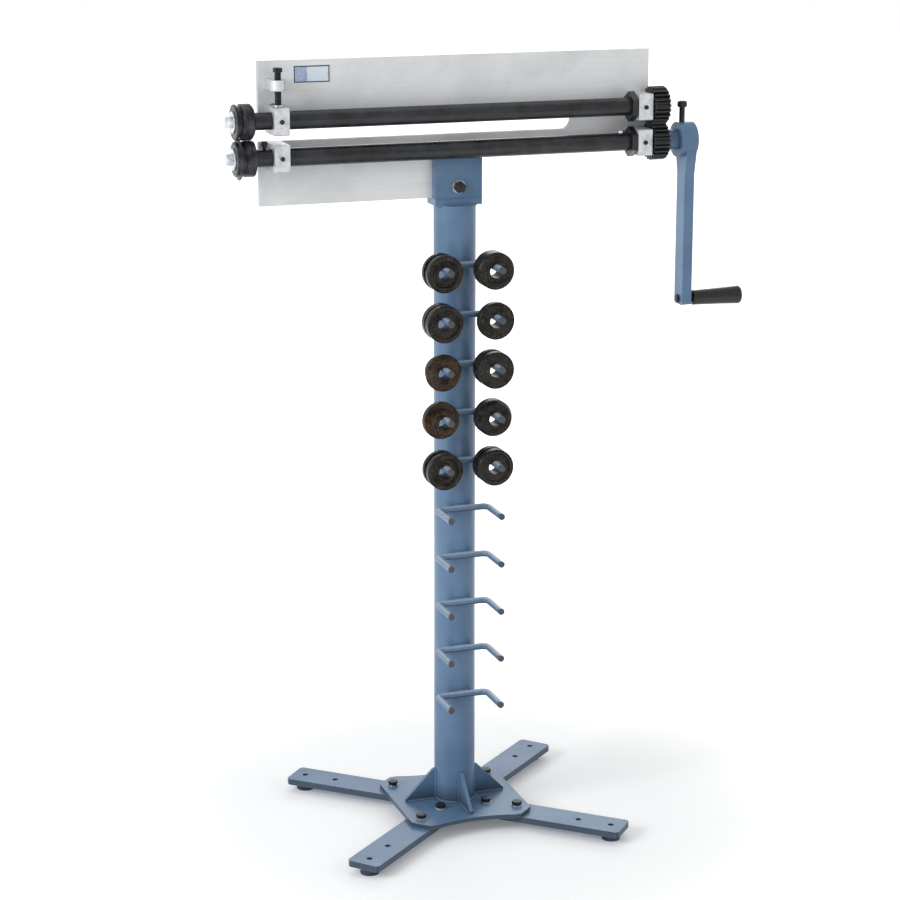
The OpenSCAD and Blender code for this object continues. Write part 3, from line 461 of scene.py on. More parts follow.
# Base fixings: eight M10 hexagon bolts in black oxide, on zinc-plated washers, with nuts under the legs.
# The heads are forged hexagons with a chamfered top; each stands at its own chance angle.
oxide_dark = "#17181a"
oxide_grey = "#2e3033"
oxide_rub = "#6a6d70"
zinc_pale = "#c3c7cc"
zinc_grey = "#8f959d"
bolt_flats, bolt_head, bolt_thread, bolt_nut = 0.0165, 0.007, 0.01, 0.008
nut_core = (0.001, 0.0006)
washer_radius = 0.0105
washer_ring = ring(0.00525, washer_radius, 0.002)

tree, given = geometry_tree("hexagon fixing", {"Across flats": "Float", "Height": "Float",
    "Under chamfer": "Float", "Shank diameter": "Float", "Shank length": "Float", "Axis": "Vector",
    "Seed": "Int", "Material": "Material"})
half_flats = times(given["Across flats"], 0.5)
blank = shape(tree, "MeshCylinder", {0: 48, 1: 4, 2: 1, 3: 1.0, 4: 1.0})
raw = axes(shape(tree, "InputPosition"))
angle = plus(maths("ARCTAN2", raw[1], raw[0]), 2 * math.tau)
side = maths("COSINE", minus(maths("MODULO", angle, math.tau / 6), math.tau / 12))
corner = maths("DIVIDE", half_flats, side)
drop = minus(corner, times(half_flats, 0.95))
fall = times(drop, math.tan(math.radians(30)))
level = times_plus(raw[2], 4, 2)
is_top = more(level, 3.5)
is_bottom = times(less(level, 0.5), given["Under chamfer"])
is_upper = maths("COMPARE", level, 3, 0.1)
is_lower = times(maths("COMPARE", level, 1, 0.1), given["Under chamfer"])
reach = minus(corner, times(plus(is_top, is_bottom), drop))
rise = times(ramp(level, 1, 3), given["Height"])
rise = times_plus(minus(is_lower, is_upper), fall, rise)
forged = add(tree, "ShaderNodeCombineXYZ", {0: times(raw[0], reach), 1: times(raw[1], reach), 2: rise})
head = shape(tree, "SetPosition", {0: blank, "Position": forged})
shank_radius = times(given["Shank diameter"], 0.5)
shank = shape(tree, "MeshCylinder", {0: 32, 1: 1, 2: 1, 3: shank_radius, 4: given["Shank length"]})
below = add(tree, "ShaderNodeCombineXYZ", {2: times_plus(given["Shank length"], -0.5, 0.0005)})
shank = shape(tree, "Transform", {0: shank, "Translation": below})
whole = shape(tree, "JoinGeometry", {0: head})
feed(whole, Geometry=shank)
chance = add(tree, "FunctionNodeRandomValue", {2: 0.0, 3: math.tau / 6, "Seed": given["Seed"]},
    data_type="FLOAT").outputs[1]
heading = add(tree, "FunctionNodeAlignRotationToVector", {"Vector": given["Axis"]}, axis="Z")
spin = add(tree, "FunctionNodeAxisAngleToRotation", {"Axis": (0, 0, 1), "Angle": chance})
heading = add(tree, "FunctionNodeRotateRotation", {0: heading, 1: spin}, rotation_space="LOCAL")
spots = shape(tree, "MeshToPoints", {0: given["Mesh"]})
fixings = shape(tree, "InstanceOnPoints", {0: spots, "Instance": whole, "Rotation": heading})
last_steps(tree, fixings, given["Material"])


def hexagon_fixings(name, places, axis, flats, height, material, shank, under, seed):
    """Hexagon heads or nuts that rise along the axis from their places, each with its shank behind it."""
    return grown(name, "hexagon fixing", places, [], {"Across flats": flats, "Height": height,
        "Under chamfer": under, "Shank diameter": shank[0], "Shank length": shank[1], "Axis": axis,
        "Seed": seed, "Material": material})


def black_oxide(name, dark, grey, rub, roughness, oil=0.0):
    """Steel blackened in hot salts: a thin, slightly cloudy dark film that rubs bright on the corners."""
    material, shader, place = soft_surface(name, dark, Metallic=0.35, Roughness=roughness, Coat_Weight=oil,
        Coat_Roughness=0.18, Specular_IOR_Level=0.3)
    cloud = ramp(noise(place, 70, 5, 0.65), 0.38, 0.7)
    tone = blend(cloud, dark, grey)
    fine = noise(place, 520, 3)
    rounded = edge_normal(place, 0.0008)
    rubbed = times(edge_wear(rounded, ramp(fine, 0.3, 0.62), 0.05), 0.75)
    feed(shader, Base_Color=blend(rubbed, tone, rub), Roughness=ramp(fine, 0.3, 0.7, roughness - 0.07,
        roughness + 0.09), Normal=bump(0.25, 0.0002, fine, rounded))
    return material


def zinc_plate(name, pale, grey, roughness):
    """Zinc-plated steel: a pale, slightly blue metal with dull patches and fine crystals."""
    material, shader, place = soft_surface(name, pale, Metallic=1.0, Roughness=roughness)
    patch = ramp(noise(place, 140, 5, 0.7), 0.4, 0.7)
    feed(shader, Base_Color=blend(patch, pale, grey), Roughness=ramp(patch, 0, 1, roughness,
        roughness + 0.14))
    grain = add(place, "ShaderNodeTexVoronoi", {"Vector": place, "Scale": 900.0})
    feed(shader, Normal=bump(0.12, 0.0002, grain, edge_normal(place, 0.0005)))
    return material


fixing_black = black_oxide("black oxide on bolts", oxide_dark, oxide_grey, oxide_rub, 0.38)
washer_zinc = zinc_plate("zinc-plated washers", zinc_pale, zinc_grey, 0.34)

inner_bolt = (0.045, 0.051)
washer_low, washer_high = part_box("base_washers")
bolt_spots = []
leg_angle = math.atan2(pad_y, pad_x)
outer_bolt = math.hypot(washer_high.x - washer_radius, washer_high.y - washer_radius)
for out, aside in ((outer_bolt * math.cos(leg_angle), outer_bolt * math.sin(leg_angle)), inner_bolt):
    bolt_spots += [(out, aside), (-out, aside), (-out, -aside), (out, -aside)]
shank_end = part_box("base_bolts")[0].z
nut_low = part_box("base_nuts")[0]
bolts = hexagon_fixings("bolts_of_base", [(x, y, washer_high.z) for x, y in bolt_spots], up, bolt_flats,
    bolt_head, fixing_black, (bolt_thread, washer_high.z - shank_end), 0.0, 5)
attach(bolts, "stand")
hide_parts("base_bolts")
nuts = hexagon_fixings("nuts_of_base", [(x, y, nut_low.z) for x, y in bolt_spots], up, bolt_flats, bolt_nut,
    fixing_black, nut_core, 1.0, 8)
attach(nuts, "stand")
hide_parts("base_nuts")
for number, (x, y) in enumerate(bolt_spots):
    washer = turned_piece(f"washer_of_base_{number + 1}", washer_ring, (x, y, washer_low.z), up,
        washer_zinc, 0.0004, 48)
    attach(washer, "stand")
    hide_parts("base_washers")


# Column: round steel tube with a disc let into its top and four gussets at its foot, all welded.
# The beads run round the foot between the gussets, up both sides of each gusset and along its base.
column_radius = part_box("column_tube")[1].x
gusset_half = 0.003
gusset_toe = 0.094
foot_z, gusset_top = (corner.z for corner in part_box("column_gussets"))
quarters = (0, 90, 180, 270)

give(satin_enamel, "column_tube", "column_cap", "column_gussets")
seams = [arc((0, 0), column_radius + 0.0009, foot_z + 0.0008, quarter + 6.5, quarter + 83.5)
    for quarter in quarters]
for quarter in quarters:
    turn = math.radians(quarter)
    for side in (-1, 1):
        def at(out, z):
            aside = side * (gusset_half + bead_sink)
            return (out * math.cos(turn) - aside * math.sin(turn),
                out * math.sin(turn) + aside * math.cos(turn), z)
        seams.append([at(column_radius + 0.004, foot_z + bead_sink), at(gusset_toe, foot_z + bead_sink)])
        seams.append([at(column_radius + 0.0004, foot_z + 0.004),
            at(column_radius + 0.0004, gusset_top - 0.001)])
weld("welds_column_foot", seams, 0.0024, 11)


# Die hooks: ten round bars, each bent into a crossbar with two prongs and welded across the column's front.
# The enamel is rubbed off the ends of the prongs, where dies slide on and off.
hook_low, hook_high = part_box("hook_rods")
hook_count = 10
hook_radius = 0.006
hook_spacing = (hook_high.z - hook_low.z - 2 * hook_radius) / (hook_count - 1)

rubbed_enamel = sprayed_enamel("blue enamel rubbed off at the prong ends", hook_low.y + 0.007)
give(rubbed_enamel, "hook_rods")
seams = []
for row in range(hook_count):
    z = hook_high.z - hook_radius - row * hook_spacing
    for side in (-1, 1):
        seams.append([(x / 1000, -(math.sqrt(column_radius ** 2 - (x / 1000) ** 2) + 0.0012),
            z + side * 0.0046) for x in range(-12, 13, 3)])
weld("welds_hooks", seams, 0.0026, 23)


# Head bracket: a block on top of the column with two cheeks that clamp the frame plate between them.
# The cheeks are welded all along their lower edges; one hexagon bolt goes through all.
cheek_low, cheek_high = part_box("bracket_cheeks")
block_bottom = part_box("bracket_base")[0].z
clamp_flats, clamp_head, clamp_thread, clamp_nut = 0.0192, 0.0078, 0.012, 0.0102
clamp_thick = 0.0025
clamp_ring = ring(0.00625, 0.012, clamp_thick)

give(satin_enamel, "bracket_base", "bracket_cheeks")
front_y, back_y = cheek_low.y, cheek_high.y
chord = math.sqrt(column_radius ** 2 - front_y ** 2)
reach_angle = math.degrees(math.asin(-front_y / column_radius)) - 2
seams = [[(cheek_low.x + 0.002, y, cheek_low.z), (cheek_high.x - 0.002, y, cheek_low.z)]
    for y in (front_y + bead_sink, back_y - bead_sink)]
seams += [[(-chord, y, block_bottom + bead_sink), (chord, y, block_bottom + bead_sink)]
    for y in (front_y - bead_sink, back_y + bead_sink)]
seams += [arc((0, 0), column_radius + bead_sink, block_bottom - bead_sink, start - reach_angle,
    start + reach_angle) for start in (0, 180)]
seams += [[(x, y - 0.006, cheek_low.z), (x, y + 0.006, cheek_low.z)]
    for x in (cheek_low.x + bead_sink, cheek_high.x - bead_sink) for y in (-0.014, 0.014)]
weld("welds_bracket", seams, 0.0018, 31)

clamp_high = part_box("bracket_fasteners")[1]
clamp_z = centre("bracket_fasteners")[2]
head_y = front_y - clamp_thick
clamp_bolt = hexagon_fixings("clamp_bolt", [(0, head_y, clamp_z)], forward, clamp_flats, clamp_head,
    fixing_black, (clamp_thread, clamp_high.y - head_y), 0.0, 2)
clamp_nut_piece = hexagon_fixings("clamp_nut", [(0, back_y + clamp_thick, clamp_z)], backward, clamp_flats,
    clamp_nut, fixing_black, nut_core, 1.0, 4)
for piece in (clamp_bolt, clamp_nut_piece):
    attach(piece, "stand")
    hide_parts("bracket_fasteners")
for name, y in (("clamp_washer_front", head_y), ("clamp_washer_back", back_y)):
    washer = turned_piece(name, clamp_ring, (0, y, clamp_z), backward, washer_zinc, 0.0004, 56)
    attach(washer, "stand")
    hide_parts("bracket_fasteners")


# Frame plate: a pale mild steel plate with both faces surface-ground and the outline cut by flame and filed.
# The wheel leaves fine lines along its length, with duller clouds where hands and oil have been.
ground_pale = "#e0e2e3"
ground_grey = "#c9ccce"
ground_line = "#c8cacc"
cut_edge = "#bfc1c3"

ground_steel, shader, place = soft_surface("surface-ground steel plate", ground_pale, Metallic=0.15,
    Roughness=0.46)
cloud = ramp(noise(place, 7, 5, 0.6, 0.6), 0.42, 0.72)
tone = blend(cloud, ground_pale, ground_grey)
# The grinding lines are a few hundredths of a millimetre apart; drawn 1.5 mm apart so that they show.
lines = noise(stretched(place, 6, 120, 650), 1, 3, 0.6)
tone = blend(ramp(lines, 0.4, 0.66, 0, 0.28), tone, ground_line)
facing = absolute(axes(place.node.outputs["Normal"])["Y"])
on_edge = less(facing, 0.5)
feed(shader, Base_Color=blend(on_edge, tone, cut_edge), Roughness=times_plus(on_edge, 0.12,
    ramp(cloud, 0, 1, 0.38, 0.5)), Normal=bump(0.1, 0.0003, lines, edge_normal(place, 0.0008)))
give(ground_steel, "frame_plate")
give(fixing_black, "plate_screws")


# Nameplate: thin printed aluminium sheet held by two small rivets, left without any words or marks.
# It has a dark printed border, a blue field to the left and a pale field to the right.
print_border = "#2f3b52"
print_blue = "#8fa3c6"
print_pale = "#dde6f2"
sheet_metal = "#cfd3d8"
plate_low, plate_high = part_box("nameplate")
border_inset, border_line = 0.0008, 0.0024

printed_sheet, shader, place = soft_surface("printed aluminium sheet", print_pale, Roughness=0.3,
    Coat_Weight=0.25, Coat_Roughness=0.15)
spot = axes(place)
edge = None
for axis, start, end in (("X", plate_low.x, plate_high.x), ("Z", plate_low.z, plate_high.z)):
    away = absolute(minus(spot[axis], (start + end) / 2))
    inside = minus((end - start) / 2, away)
    edge = inside if edge is None else maths("MINIMUM", edge, inside)
blotch = noise(place, 260, 3)
left = less(spot["X"], plate_low.x * 0.62 + plate_high.x * 0.38)
tone = blend(left, print_pale, print_blue)
tone = blend(ramp(blotch, 0.35, 0.75, 0, 0.5), tone, print_pale)
line = maths("COMPARE", edge, border_inset + border_line / 2, border_line / 2)
tone = blend(line, tone, print_border)
margin = less(edge, border_inset)
feed(shader, Base_Color=blend(margin, tone, sheet_metal), Metallic=margin,
    Normal=bump(0.2, 0.0001, line, edge_normal(place, 0.0003)))
give(printed_sheet, "nameplate")

rivet_section = [(0, 0), (0.0016, 0), (0.0015, 0.0005), (0.0008, 0.0009), (0, 0.001)]
for name, x in (("rivet_left", plate_low.x + 0.0048), ("rivet_right", plate_high.x - 0.0048)):
    rivet = turned_piece(name, rivet_section, (x, plate_low.y + 0.0001, centre("nameplate")[2]), forward,
        washer_zinc, 0.0002, 24)
    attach(rivet, "stand")


# Shafts: two 32 mm bars of turned steel, blackened and oiled, one above the other in front of the plate.
# Drawing and turning leave fine lines along them, and the oil gives a soft band of light.
bar_black = "#111214"
bar_grey = "#303236"
bar_rub = "#5d6063"


def oiled_bar(name, dark, grey, rub, roughness):
    """Blackened bar: a dark film with fine lines along X, cloudy with oil."""
    material, shader, place = soft_surface(name, dark, Roughness=roughness, Specular_IOR_Level=0.3)
    lines = noise(stretched(place, 7, 700, 700), 1, 3, 0.6)
    cloud = noise(place, 26, 5, 0.62)
    streak = ramp(lines, 0.38, 0.66, -0.25, 0.35)
    tone = blend(plus(ramp(cloud, 0.36, 0.7), streak, use_clamp=True), dark, grey)
    rounded = edge_normal(place, 0.0008)
    rubbed = edge_wear(rounded, ramp(cloud, 0.4, 0.6), 0.04)
    feed(shader, Base_Color=blend(rubbed, tone, rub), Roughness=ramp(cloud, 0.3, 0.7, roughness - 0.06,
        roughness + 0.1), Normal=bump(0.15, 0.0002, lines, rounded))
    return material


shaft_black = oiled_bar("oiled black steel bar", bar_black, bar_grey, bar_rub, 0.28)
give(shaft_black, "upper_shaft", "lower_shaft", "upper_sleeve", "lower_sleeve")


# Bearing blocks: milled from bright steel bar, two on the plate and two that ride with the upper shaft.
# Each has a pressed bronze bush and, in the middle of its front face, a small grease nipple.
block_pale = "#cdcfd1"
block_grey = "#a6a9ad"
bush_bronze = "#a5813f"
bush_brown = "#6f542c"
cutter_line_mm = 1.2

milled_alloy, shader, place = soft_surface("milled bright steel", block_pale, Metallic=0.45, Roughness=0.36)
# The cutter's lines are about 0.3 mm apart; drawn wider so that they show.
passes = add(place, "ShaderNodeTexWave", {"Vector": place, "Scale": 314.159 / cutter_line_mm,
    "Distortion": 1.5, "Detail": 2.0}, bands_direction="DIAGONAL")
cloud = noise(place, 75, 5, 0.65)
feed(shader, Base_Color=blend(ramp(cloud, 0.42, 0.74), block_pale, block_grey),
    Roughness=ramp(cloud, 0.35, 0.7, 0.3, 0.46), Normal=bump(0.1, 0.0002, passes,
    edge_normal(place, 0.0009)))
give(milled_alloy, "upper_front_block", "upper_rear_block", "lower_front_block", "lower_rear_block")

oily_bronze, shader, place = soft_surface("oil-soaked bronze", bush_bronze, Metallic=1.0, Roughness=0.34)
cloud = noise(place, 240, 4)
feed(shader, Base_Color=blend(ramp(cloud, 0.4, 0.7), bush_bronze, bush_brown),
    Normal=bump(0.15, 0.0002, cloud, edge_normal(place, 0.0006)))
give(oily_bronze, "upper_bushes", "lower_bushes")

nipple_section = [(0, -0.0005), (0.004, -0.0005), (0.004, 0.0022), (0.003, 0.0032), (0.0016, 0.0034),
    (0.0015, 0.004), (0.002, 0.0047), (0.0019, 0.0055), (0.001, 0.006), (0, 0.006)]
for height, body in (("upper", "upper_carriage"), ("lower", "stand")):
    low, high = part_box(height + "_grease_nipples")
    nipple_z = centre(height + "_grease_nipples")[2]
    block_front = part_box(height + "_front_block")[0].y
    for name, x in (("front", low.x + 0.004), ("rear", high.x - 0.004)):
        nipple = turned_piece(f"nipple_{height}_{name}", nipple_section, (x, block_front, nipple_z),
            forward, fixing_black, 0.0003, 32)
        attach(nipple, body)
        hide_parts(height + "_grease_nipples")


# Gears and collars: two steel gears of 21 teeth on the rear ends of the shafts, cut and blackened.
# A hexagon collar stands before each rear block, and a spacer between the lower gear and the crank.
gear_dark = "#141517"
gear_grey = "#26282b"
gear_finish = (gear_dark, gear_grey, "#5c5f63", 0.34, 0.25)
blackened_gears = black_oxide("blackened gear steel", *gear_finish)
give(blackened_gears, "upper_gear", "lower_gear", "upper_collar")

# The spacer behind the gear carries the crank's blue enamel, so this finish changes there along X.
painted_spacer = black_oxide("blackened collar and enamelled spacer", *gear_finish)
shader = painted_spacer.node_tree.nodes["Principled BSDF"]
along = axes(add(shader, "ShaderNodeTexCoord").outputs["Object"])["X"]
along = more(along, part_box("lower_gear")[1].x - 0.001)
blued = shader.inputs["Base Color"].links[0].from_socket
feed(shader, Base_Color=blend(along, blued, enamel_deep), Metallic=ramp(along, 0, 1, 0.35, 0))
give(painted_spacer, "lower_collars")


# Shaft fixings: a washer and hexagon bolt hold each mounted die on its shaft; short studs lock the sleeves.
# The bolts and washers are bright zinc; the studs are blackened, and the upper sleeve's points to the plate.
retaining_flats, retaining_head, retaining_thread = 0.019, 0.011, 0.012
retaining_thick = 0.003
retaining_ring = ring(0.00625, 0.019, retaining_thick)
stud_section = [(0, 0), (0.003, 0), (0.003, 0.005), (0.0055, 0.005), (0.0055, 0.012), (0.0046, 0.0136),
    (0.0022, 0.014), (0, 0.014)]
stop_section = [(0, 0), (0.0055, 0), (0.0055, 0.0042), (0.0045, 0.005), (0.002, 0.005), (0.0018, 0.003),
    (0, 0.003)]
bright_zinc = zinc_plate("bright zinc plate", "#d3d6da", "#9a9fa6", 0.24)

shaft_y = centre("lower_shaft")[1]
shaft_radius = (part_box("lower_shaft")[1].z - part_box("lower_shaft")[0].z) / 2
for height, seed in (("upper", 6), ("lower", 9)):
    shaft_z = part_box(height + "_shaft")[0].z + shaft_radius
    die_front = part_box(height + "_die")[0].x
    sleeve_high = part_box(height + "_sleeve")[1]
    bolt = hexagon_fixings(f"retaining_bolt_{height}", [(die_front - retaining_thick, shaft_y, shaft_z)],
        to_left, retaining_flats, retaining_head, bright_zinc, (retaining_thread, 0.029), 0.0, seed)
    washer = turned_piece(f"retaining_washer_{height}", retaining_ring, (die_front, shaft_y, shaft_z),
        to_left, bright_zinc, 0.0005, 72)
    stud_x = centre(height + "_sleeve")[0] + 0.0039
    if height == "upper":
        stud_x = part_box("upper_shaft_screws")[1].x - 0.0055
    at_back = (stud_x, sleeve_high.y, shaft_z), backward
    on_top = (stud_x, shaft_y, sleeve_high.z), up
    stud_foot, stud_axis = at_back if height == "upper" else on_top
    stud = turned_piece(f"sleeve_stud_{height}", stud_section, stud_foot, stud_axis, fixing_black, 0.0006,
        40)
    pieces = [(bolt, "zinc_plate"), (washer, "zinc_plate"), (stud, "black_oxide")]
    if height == "lower":
        stop = turned_piece("stop_stud_lower", stop_section,
            (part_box("lower_shaft_screws")[1].x - 0.0055, shaft_y, shaft_z + shaft_radius), up, washer_zinc,
            0.0004, 40)
        pieces.append((stop, "zinc_plate"))
    for piece, slot in pieces:
        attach(piece, height + "_drive")
        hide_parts(height + "_shaft_screws")


# Height adjuster: a bright lug on the plate carries an M12 screw that presses on the upper front block.
# The thread is rolled, the screw is black and the lug and its thrust washer are left bright.
screw_pitch = 0.00175
screw_thread = 0.012
screw_flats, screw_head = 0.014, 0.008

tree, given = geometry_tree("rolled thread", {"Diameter": "Float", "Pitch": "Float", "Turns": "Int",
    "Place": "Vector", "Axis": "Vector", "Material": "Material"})
rows_per_turn, columns = 8, 32
row_count = times_plus(given["Turns"], rows_per_turn, rows_per_turn + 3)
sheet = shape(tree, "MeshGrid", {0: 1.0, 1: 1.0, 2: columns + 1, 3: row_count})
flat = axes(shape(tree, "InputPosition"))
part = plus(flat[0], 0.5)
angle = times(part, math.tau)
last_row = minus(row_count, 1)
row = maths("ROUND", times(plus(flat[1], 0.5), last_row))
turn = times(minus(row, 1), 1 / rows_per_turn)
climb = minus(plus(turn, part), 1)
climb = add(tree, "ShaderNodeClamp", {0: climb, 1: 0.0, 2: given["Turns"]})
ridge = absolute(minus(maths("FRACT", turn), 0.5))
valley = ramp(ridge, 0.1, 0.45, 0, 0.55)
to_end = maths("MINIMUM", minus(given["Turns"], climb), climb)
chamfer = ramp(to_end, 0, 0.6, 0.6, 0)
valley = times(maths("MAXIMUM", valley, chamfer), given["Pitch"])
radius = minus(times(given["Diameter"], 0.5), valley)
after_first = more(row, 0.5)
before_last = less(row, minus(last_row, 0.5))
radius = times(times(radius, after_first), before_last)
rolled = around(radius, angle, times(climb, given["Pitch"]))
body = shape(tree, "SetPosition", {0: sheet, "Position": rolled})
last_steps(tree, put_in_place(tree, body, given), given["Material"], 50.0)

screw_low, screw_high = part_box("adjusting_screw")
screw_x, screw_y, _ = centre("adjusting_screw")
head_z = screw_high.z - screw_head
head = hexagon_fixings("adjuster_head", [(screw_x, screw_y, head_z)], up, screw_flats, screw_head,
    fixing_black, (screw_thread - 0.002, head_z - screw_low.z - 0.004), 0.0, 12)
thread = grown("adjuster_thread", "rolled thread", [(0, 0, 0)], [],
    {"Diameter": screw_thread, "Pitch": screw_pitch,
    "Turns": math.floor((head_z - screw_low.z) / screw_pitch), "Place": (screw_x, screw_y, screw_low.z),
    "Axis": up, "Material": fixing_black})
for piece in (head, thread):
    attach(piece, "adjuster")
    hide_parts("adjusting_screw")

give(milled_alloy, "adjuster_lug")
low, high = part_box("thrust_washer")
thrust_section = ring(0, 0.01, high.z - low.z)
thrust = turned_piece("adjuster_thrust_washer", thrust_section, (screw_x, screw_y, low.z), up, washer_zinc,
    0.0006, 56)
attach(thrust, "screw_foot")
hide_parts("thrust_washer")


# Carriage bolts: the pivot behind the upper rear block, and the guide bolt that slides in the plate's slot.
# Both are black; a zinc-plated washer under the guide bolt's head runs on the back of the plate.
pivot_flats, guide_flats, carriage_head = 0.02, 0.017, 0.008
low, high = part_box("carriage_bolts")
plate_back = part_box("frame_plate")[1].y
pivot_x, _, pivot_z = centre("upper_rear_block")
guide_ring = ring(0.00625, 0.014, 0.003)
pivot = hexagon_fixings("carriage_pivot_bolt", [(pivot_x, plate_back + 0.0003, pivot_z)], backward,
    pivot_flats, carriage_head, fixing_black, (screw_thread, plate_back - low.y), 0.0, 14)
guide_x, guide_z = centre("upper_front_block")[0], high.z - 0.014
guide = hexagon_fixings("carriage_guide_bolt", [(guide_x, high.y - carriage_head, guide_z)], backward,
    guide_flats, carriage_head, fixing_black, (screw_thread, high.y - carriage_head - low.y), 0.0, 15)
guide_washer = turned_piece("carriage_guide_washer", guide_ring, (guide_x, plate_back + 0.0003, guide_z),
    backward, washer_zinc, 0.0005, 56)
for piece, slot in ((pivot, "black_oxide"), (guide, "black_oxide"), (guide_washer, "zinc_plate")):
    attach(piece, "upper_carriage")
    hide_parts("carriage_bolts")


# Crank: a turned hub with a flat bar arm welded under it, painted like the stand, and its black stud.
# The grip is glossy black moulded plastic, a little thinner by the arm, and turns on a black bolt.
grip_black = "#0c0d0e"
grip_scuff = "#1c1d1f"
clamp_stud_section = [(0, 0), (0.0052, 0), (0.0052, 0.034), (0.0078, 0.0346), (0.009, 0.0366),
    (0.009, 0.0424), (0.008, 0.0446), (0.005, 0.046), (0, 0.046)]
grip_section = [(0.0053, 0), (0.0122, 0), (0.0138, 0.0022), (0.014, 0.012), (0.0145, 0.033), (0.0154, 0.06),
    (0.0165, 0.084), (0.0169, 0.0905), (0.0168, 0.0942), (0.0155, 0.0965), (0.0132, 0.0969),
    (0.0098, 0.0962), (0.0092, 0.0945), (0.0092, 0.0902), (0.0053, 0.0902)]

give(satin_enamel, "crank_hub", "crank_arm")
x, y, _ = centre("crank_clamp_bolt")
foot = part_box("crank_clamp_bolt")[0].z
clamp_stud = turned_piece("crank_clamp_stud", clamp_stud_section, (x, y, foot), up, fixing_black, 0.0008,
    48)
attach(clamp_stud, "lower_drive")
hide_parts("crank_clamp_bolt")
give(fixing_black, "grip_spindle")

hub_low, hub_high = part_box("crank_hub")
bead_radius = (hub_high.z - hub_low.z) / 2 + 0.0002
arm_low, arm_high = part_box("crank_arm")
crank_z = centre("crank_hub")[2]
seams = []
for x in (arm_low.x - 0.0004, arm_high.x + 0.0004):
    turned = [math.radians(a) for a in range(238, 303, 4)]
    seams.append([(x, shaft_y + bead_radius * math.cos(a), crank_z + bead_radius * math.sin(a))
        for a in turned])
weld("welds_crank", seams, 0.0017, 41, "lower_drive")

moulded_grip, shader, place = soft_surface("glossy moulded black plastic", grip_black, Roughness=0.24,
    Specular_IOR_Level=0.3, Coat_Weight=0.12, Coat_Roughness=0.12)
scuffs = noise(stretched(place, 60, 420, 420), 1, 4, 0.7)
worn = ramp(scuffs, 0.5, 0.8, 0, 0.7)
feed(shader, Base_Color=blend(worn, grip_black, grip_scuff), Roughness=ramp(scuffs, 0.35, 0.75, 0.18, 0.42),
    Normal=bump(0.1, 0.0002, scuffs))

_, y, z = centre("crank_grip")
grip = turned_piece("grip_moulding", grip_section, (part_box("crank_grip")[0].x, y, z), to_right,
    moulded_grip, 0.001, 96)
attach(grip, "hand_grip")
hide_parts("crank_grip")


# Forming dies: turned from tool steel bar and hardened black; the pair on the shafts is a ridge in a groove.
# Each profile is given in shares of the die's length, from its back, and of its radius.
mounted_radius, mounted_bore = 0.0312, 0.01255
die_fleck = "#6a665c"
die_rub = "#8b8983"
upper_profile = [(0, 0.8), (0.12, 0.97), (0.16, 1), (0.66, 1), (0.7, 0.821), (0.84, 0.821), (0.88, 0.98),
    (0.97, 0.98), (1, 0.94)]
lower_profile = [(0, 0.98), (0.03, 1), (0.5, 1), (0.53, 0.96), (0.7, 0.96), (0.725, 1.05), (0.75, 1.16),
    (0.79, 1.16), (0.815, 1.05), (0.84, 0.96), (0.97, 0.96), (1, 0.88)]


def turned_die_steel(name, dark, mid, stain, stain_share, roughness):
    """Hardened, oiled steel: near black, with the lathe's rings, brown stain and bright rubbed corners."""
    material, shader, place = soft_surface(name, dark, Metallic=0.25, Roughness=roughness, Coat_Weight=0.03,
        Coat_Roughness=0.25, Specular_IOR_Level=0.15)
    lathe = axes(add(place, "ShaderNodeAttribute", attribute_name="lathe").outputs["Vector"])
    # The rings are about 0.2 mm apart; drawn 0.8 mm apart so that they show.
    rings = noise(add(place, "ShaderNodeCombineXYZ", {0: lathe[0], 2: lathe[2]}), 1200)
    cloud = noise(place, 60, 6, 0.68)
    streak = ramp(rings, 0.35, 0.65, -0.3, 0.4)
    tone = blend(plus(ramp(cloud, 0.42, 0.6), streak, use_clamp=True), dark, mid)
    blotch = noise(place, 34, 7, 0.75, 0.8)
    stained = times(ramp(blotch, 0.66 - 0.3 * stain_share, 0.8 - 0.3 * stain_share), 0.85)
    tone = blend(stained, tone, stain)
    # Small bright specks, where chips and handling have marked the oiled skin.
    fleck = ramp(noise(place, 330, 2, 0.6), 0.6, 0.68, 0, 0.1 + 0.9 * stain_share)
    tone = blend(fleck, tone, die_fleck)
    rounded = edge_normal(place, 0.0007)
    rubbed = edge_wear(rounded, ramp(cloud, 0.36, 0.56), 0.04)
    feed(shader, Base_Color=blend(rubbed, tone, die_rub), Roughness=ramp(stained, 0, 1, roughness,
        roughness + 0.22), Normal=bump(0.22, 0.0002, rings, rounded))
    return material


def die(name, node, body, profile, radius, bore, axis, material):
    """One die: its bore, its back face, its profile and its front face, in place of the node."""
    low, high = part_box(node)
    middle, size = (low + high) / 2, high - low
    along = Vector(axis)
    length = abs(size.dot(along))
    back = middle - along * length / 2
    section = [(bore, 0.0)] + [(radius * r, length * at) for at, r in profile]
    section.append((bore, section[-1][1]))
    made = turned_piece(name, section, tuple(back), axis, material, 0.0007, 96)
    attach(made, body)
    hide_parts(node)


mounted_steel = turned_die_steel("hardened black die steel", "#1b1c1f", "#424347", "#2a2420", 0.15, 0.32)
for height, profile in (("upper", upper_profile), ("lower", lower_profile)):
    die(f"mounted_die_{height}", height + "_die", height + "_drive", profile, mounted_radius,
        mounted_bore, to_left, mounted_steel)


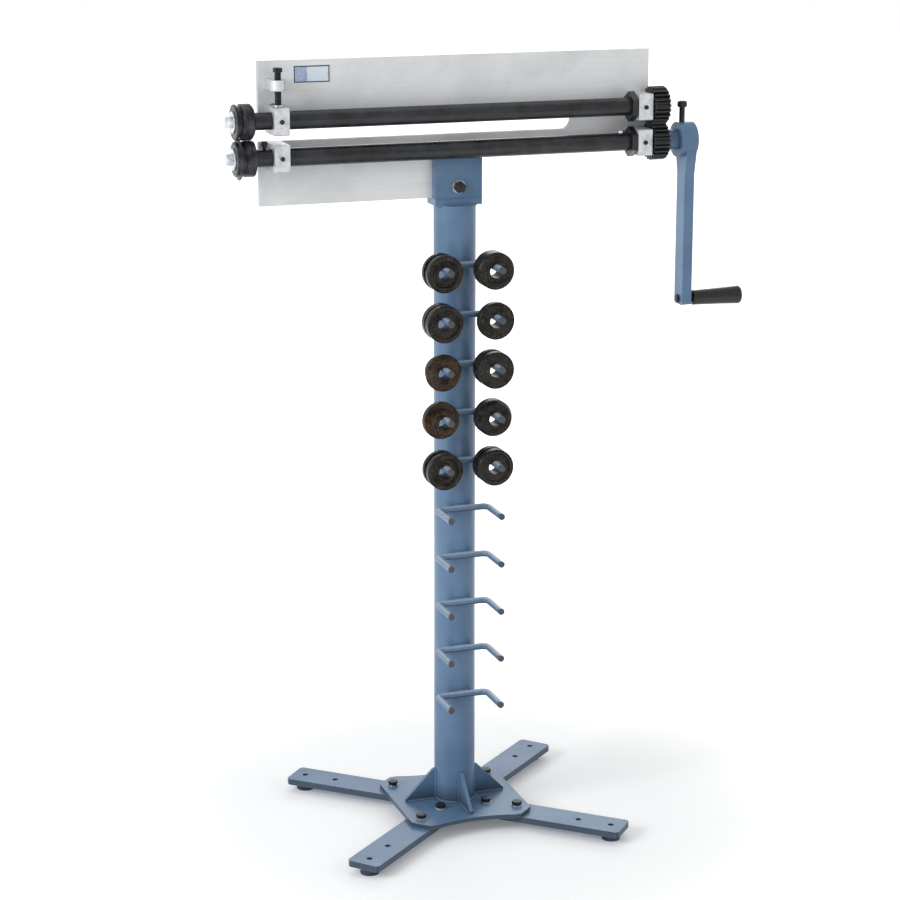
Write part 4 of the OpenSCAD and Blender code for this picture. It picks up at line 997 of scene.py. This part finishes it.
# Spare dies: five pairs of other profiles kept on the upper hooks, oiled against rust, some stained brown.
# Their bores are twice as wide as the hooks, so they hang on the tops of their bores.
spare_radius, spare_bore = 0.0335, 0.0125
grooved = [(0, 0.94), (0.04, 1), (0.3, 1), (0.34, 0.72), (0.6, 0.72), (0.64, 1), (0.94, 1), (1, 0.94),
    (1, 0.72), (0.93, 0.68), (0.93, 0.52), (1, 0.5)]
plain = [(0, 0.92), (0.1, 1), (0.9, 1), (1, 0.92), (1, 0.62), (0.96, 0.6), (0.96, 0.46)]
shallow_groove = [(0, 0.96), (0.03, 1), (0.4, 1), (0.42, 0.82), (0.56, 0.82), (0.58, 1), (0.95, 1),
    (1, 0.95), (1, 0.78), (0.9, 0.74), (0.9, 0.46)]
stepped = [(0, 0.7), (0.04, 0.74), (0.56, 0.74), (0.56, 0.98), (0.6, 1), (0.96, 1), (1, 0.96), (1, 0.5)]
ridged = [(0, 0.84), (0.46, 0.84), (0.5, 0.93), (0.56, 1), (0.66, 1), (0.72, 0.93), (0.76, 0.84),
    (0.96, 0.84), (1, 0.8), (1, 0.5), (0.95, 0.48)]
flanged = [(0, 0.96), (0.04, 1), (0.34, 1), (0.38, 0.88), (0.6, 0.88), (0.64, 1), (0.96, 1), (1, 0.95)]
spool = [(0, 0.97), (0.04, 1), (0.36, 1), (0.4, 0.97), (0.42, 0.68), (0.97, 0.68), (1, 0.64), (1, 0.5)]
bevelled = [(0, 0.9), (0.14, 1), (0.7, 1), (1, 0.84), (1, 0.56), (0.95, 0.54)]
oiled_steel = turned_die_steel("oiled die steel", "#0b0b0a", "#2d2a26", "#38281e", 0.4, 0.38)
stained_steel = turned_die_steel("rust-stained die steel", "#120e0b", "#362a22", "#54351f", 0.6, 0.42)
spares = {"1_left": grooved, "1_right": plain, "2_left": shallow_groove, "2_right": stepped,
    "3_left": ridged, "3_right": flanged, "4_left": spool, "4_right": bevelled, "5_left": grooved,
    "5_right": shallow_groove}
rusted = ("3_left", "4_left")
for name, profile in spares.items():
    material = stained_steel if name in rusted else oiled_steel
    die(f"spare_die_{name}_turned", "stored_die_" + name, "spare_die_" + name, profile,
        spare_radius, spare_bore, forward, material)
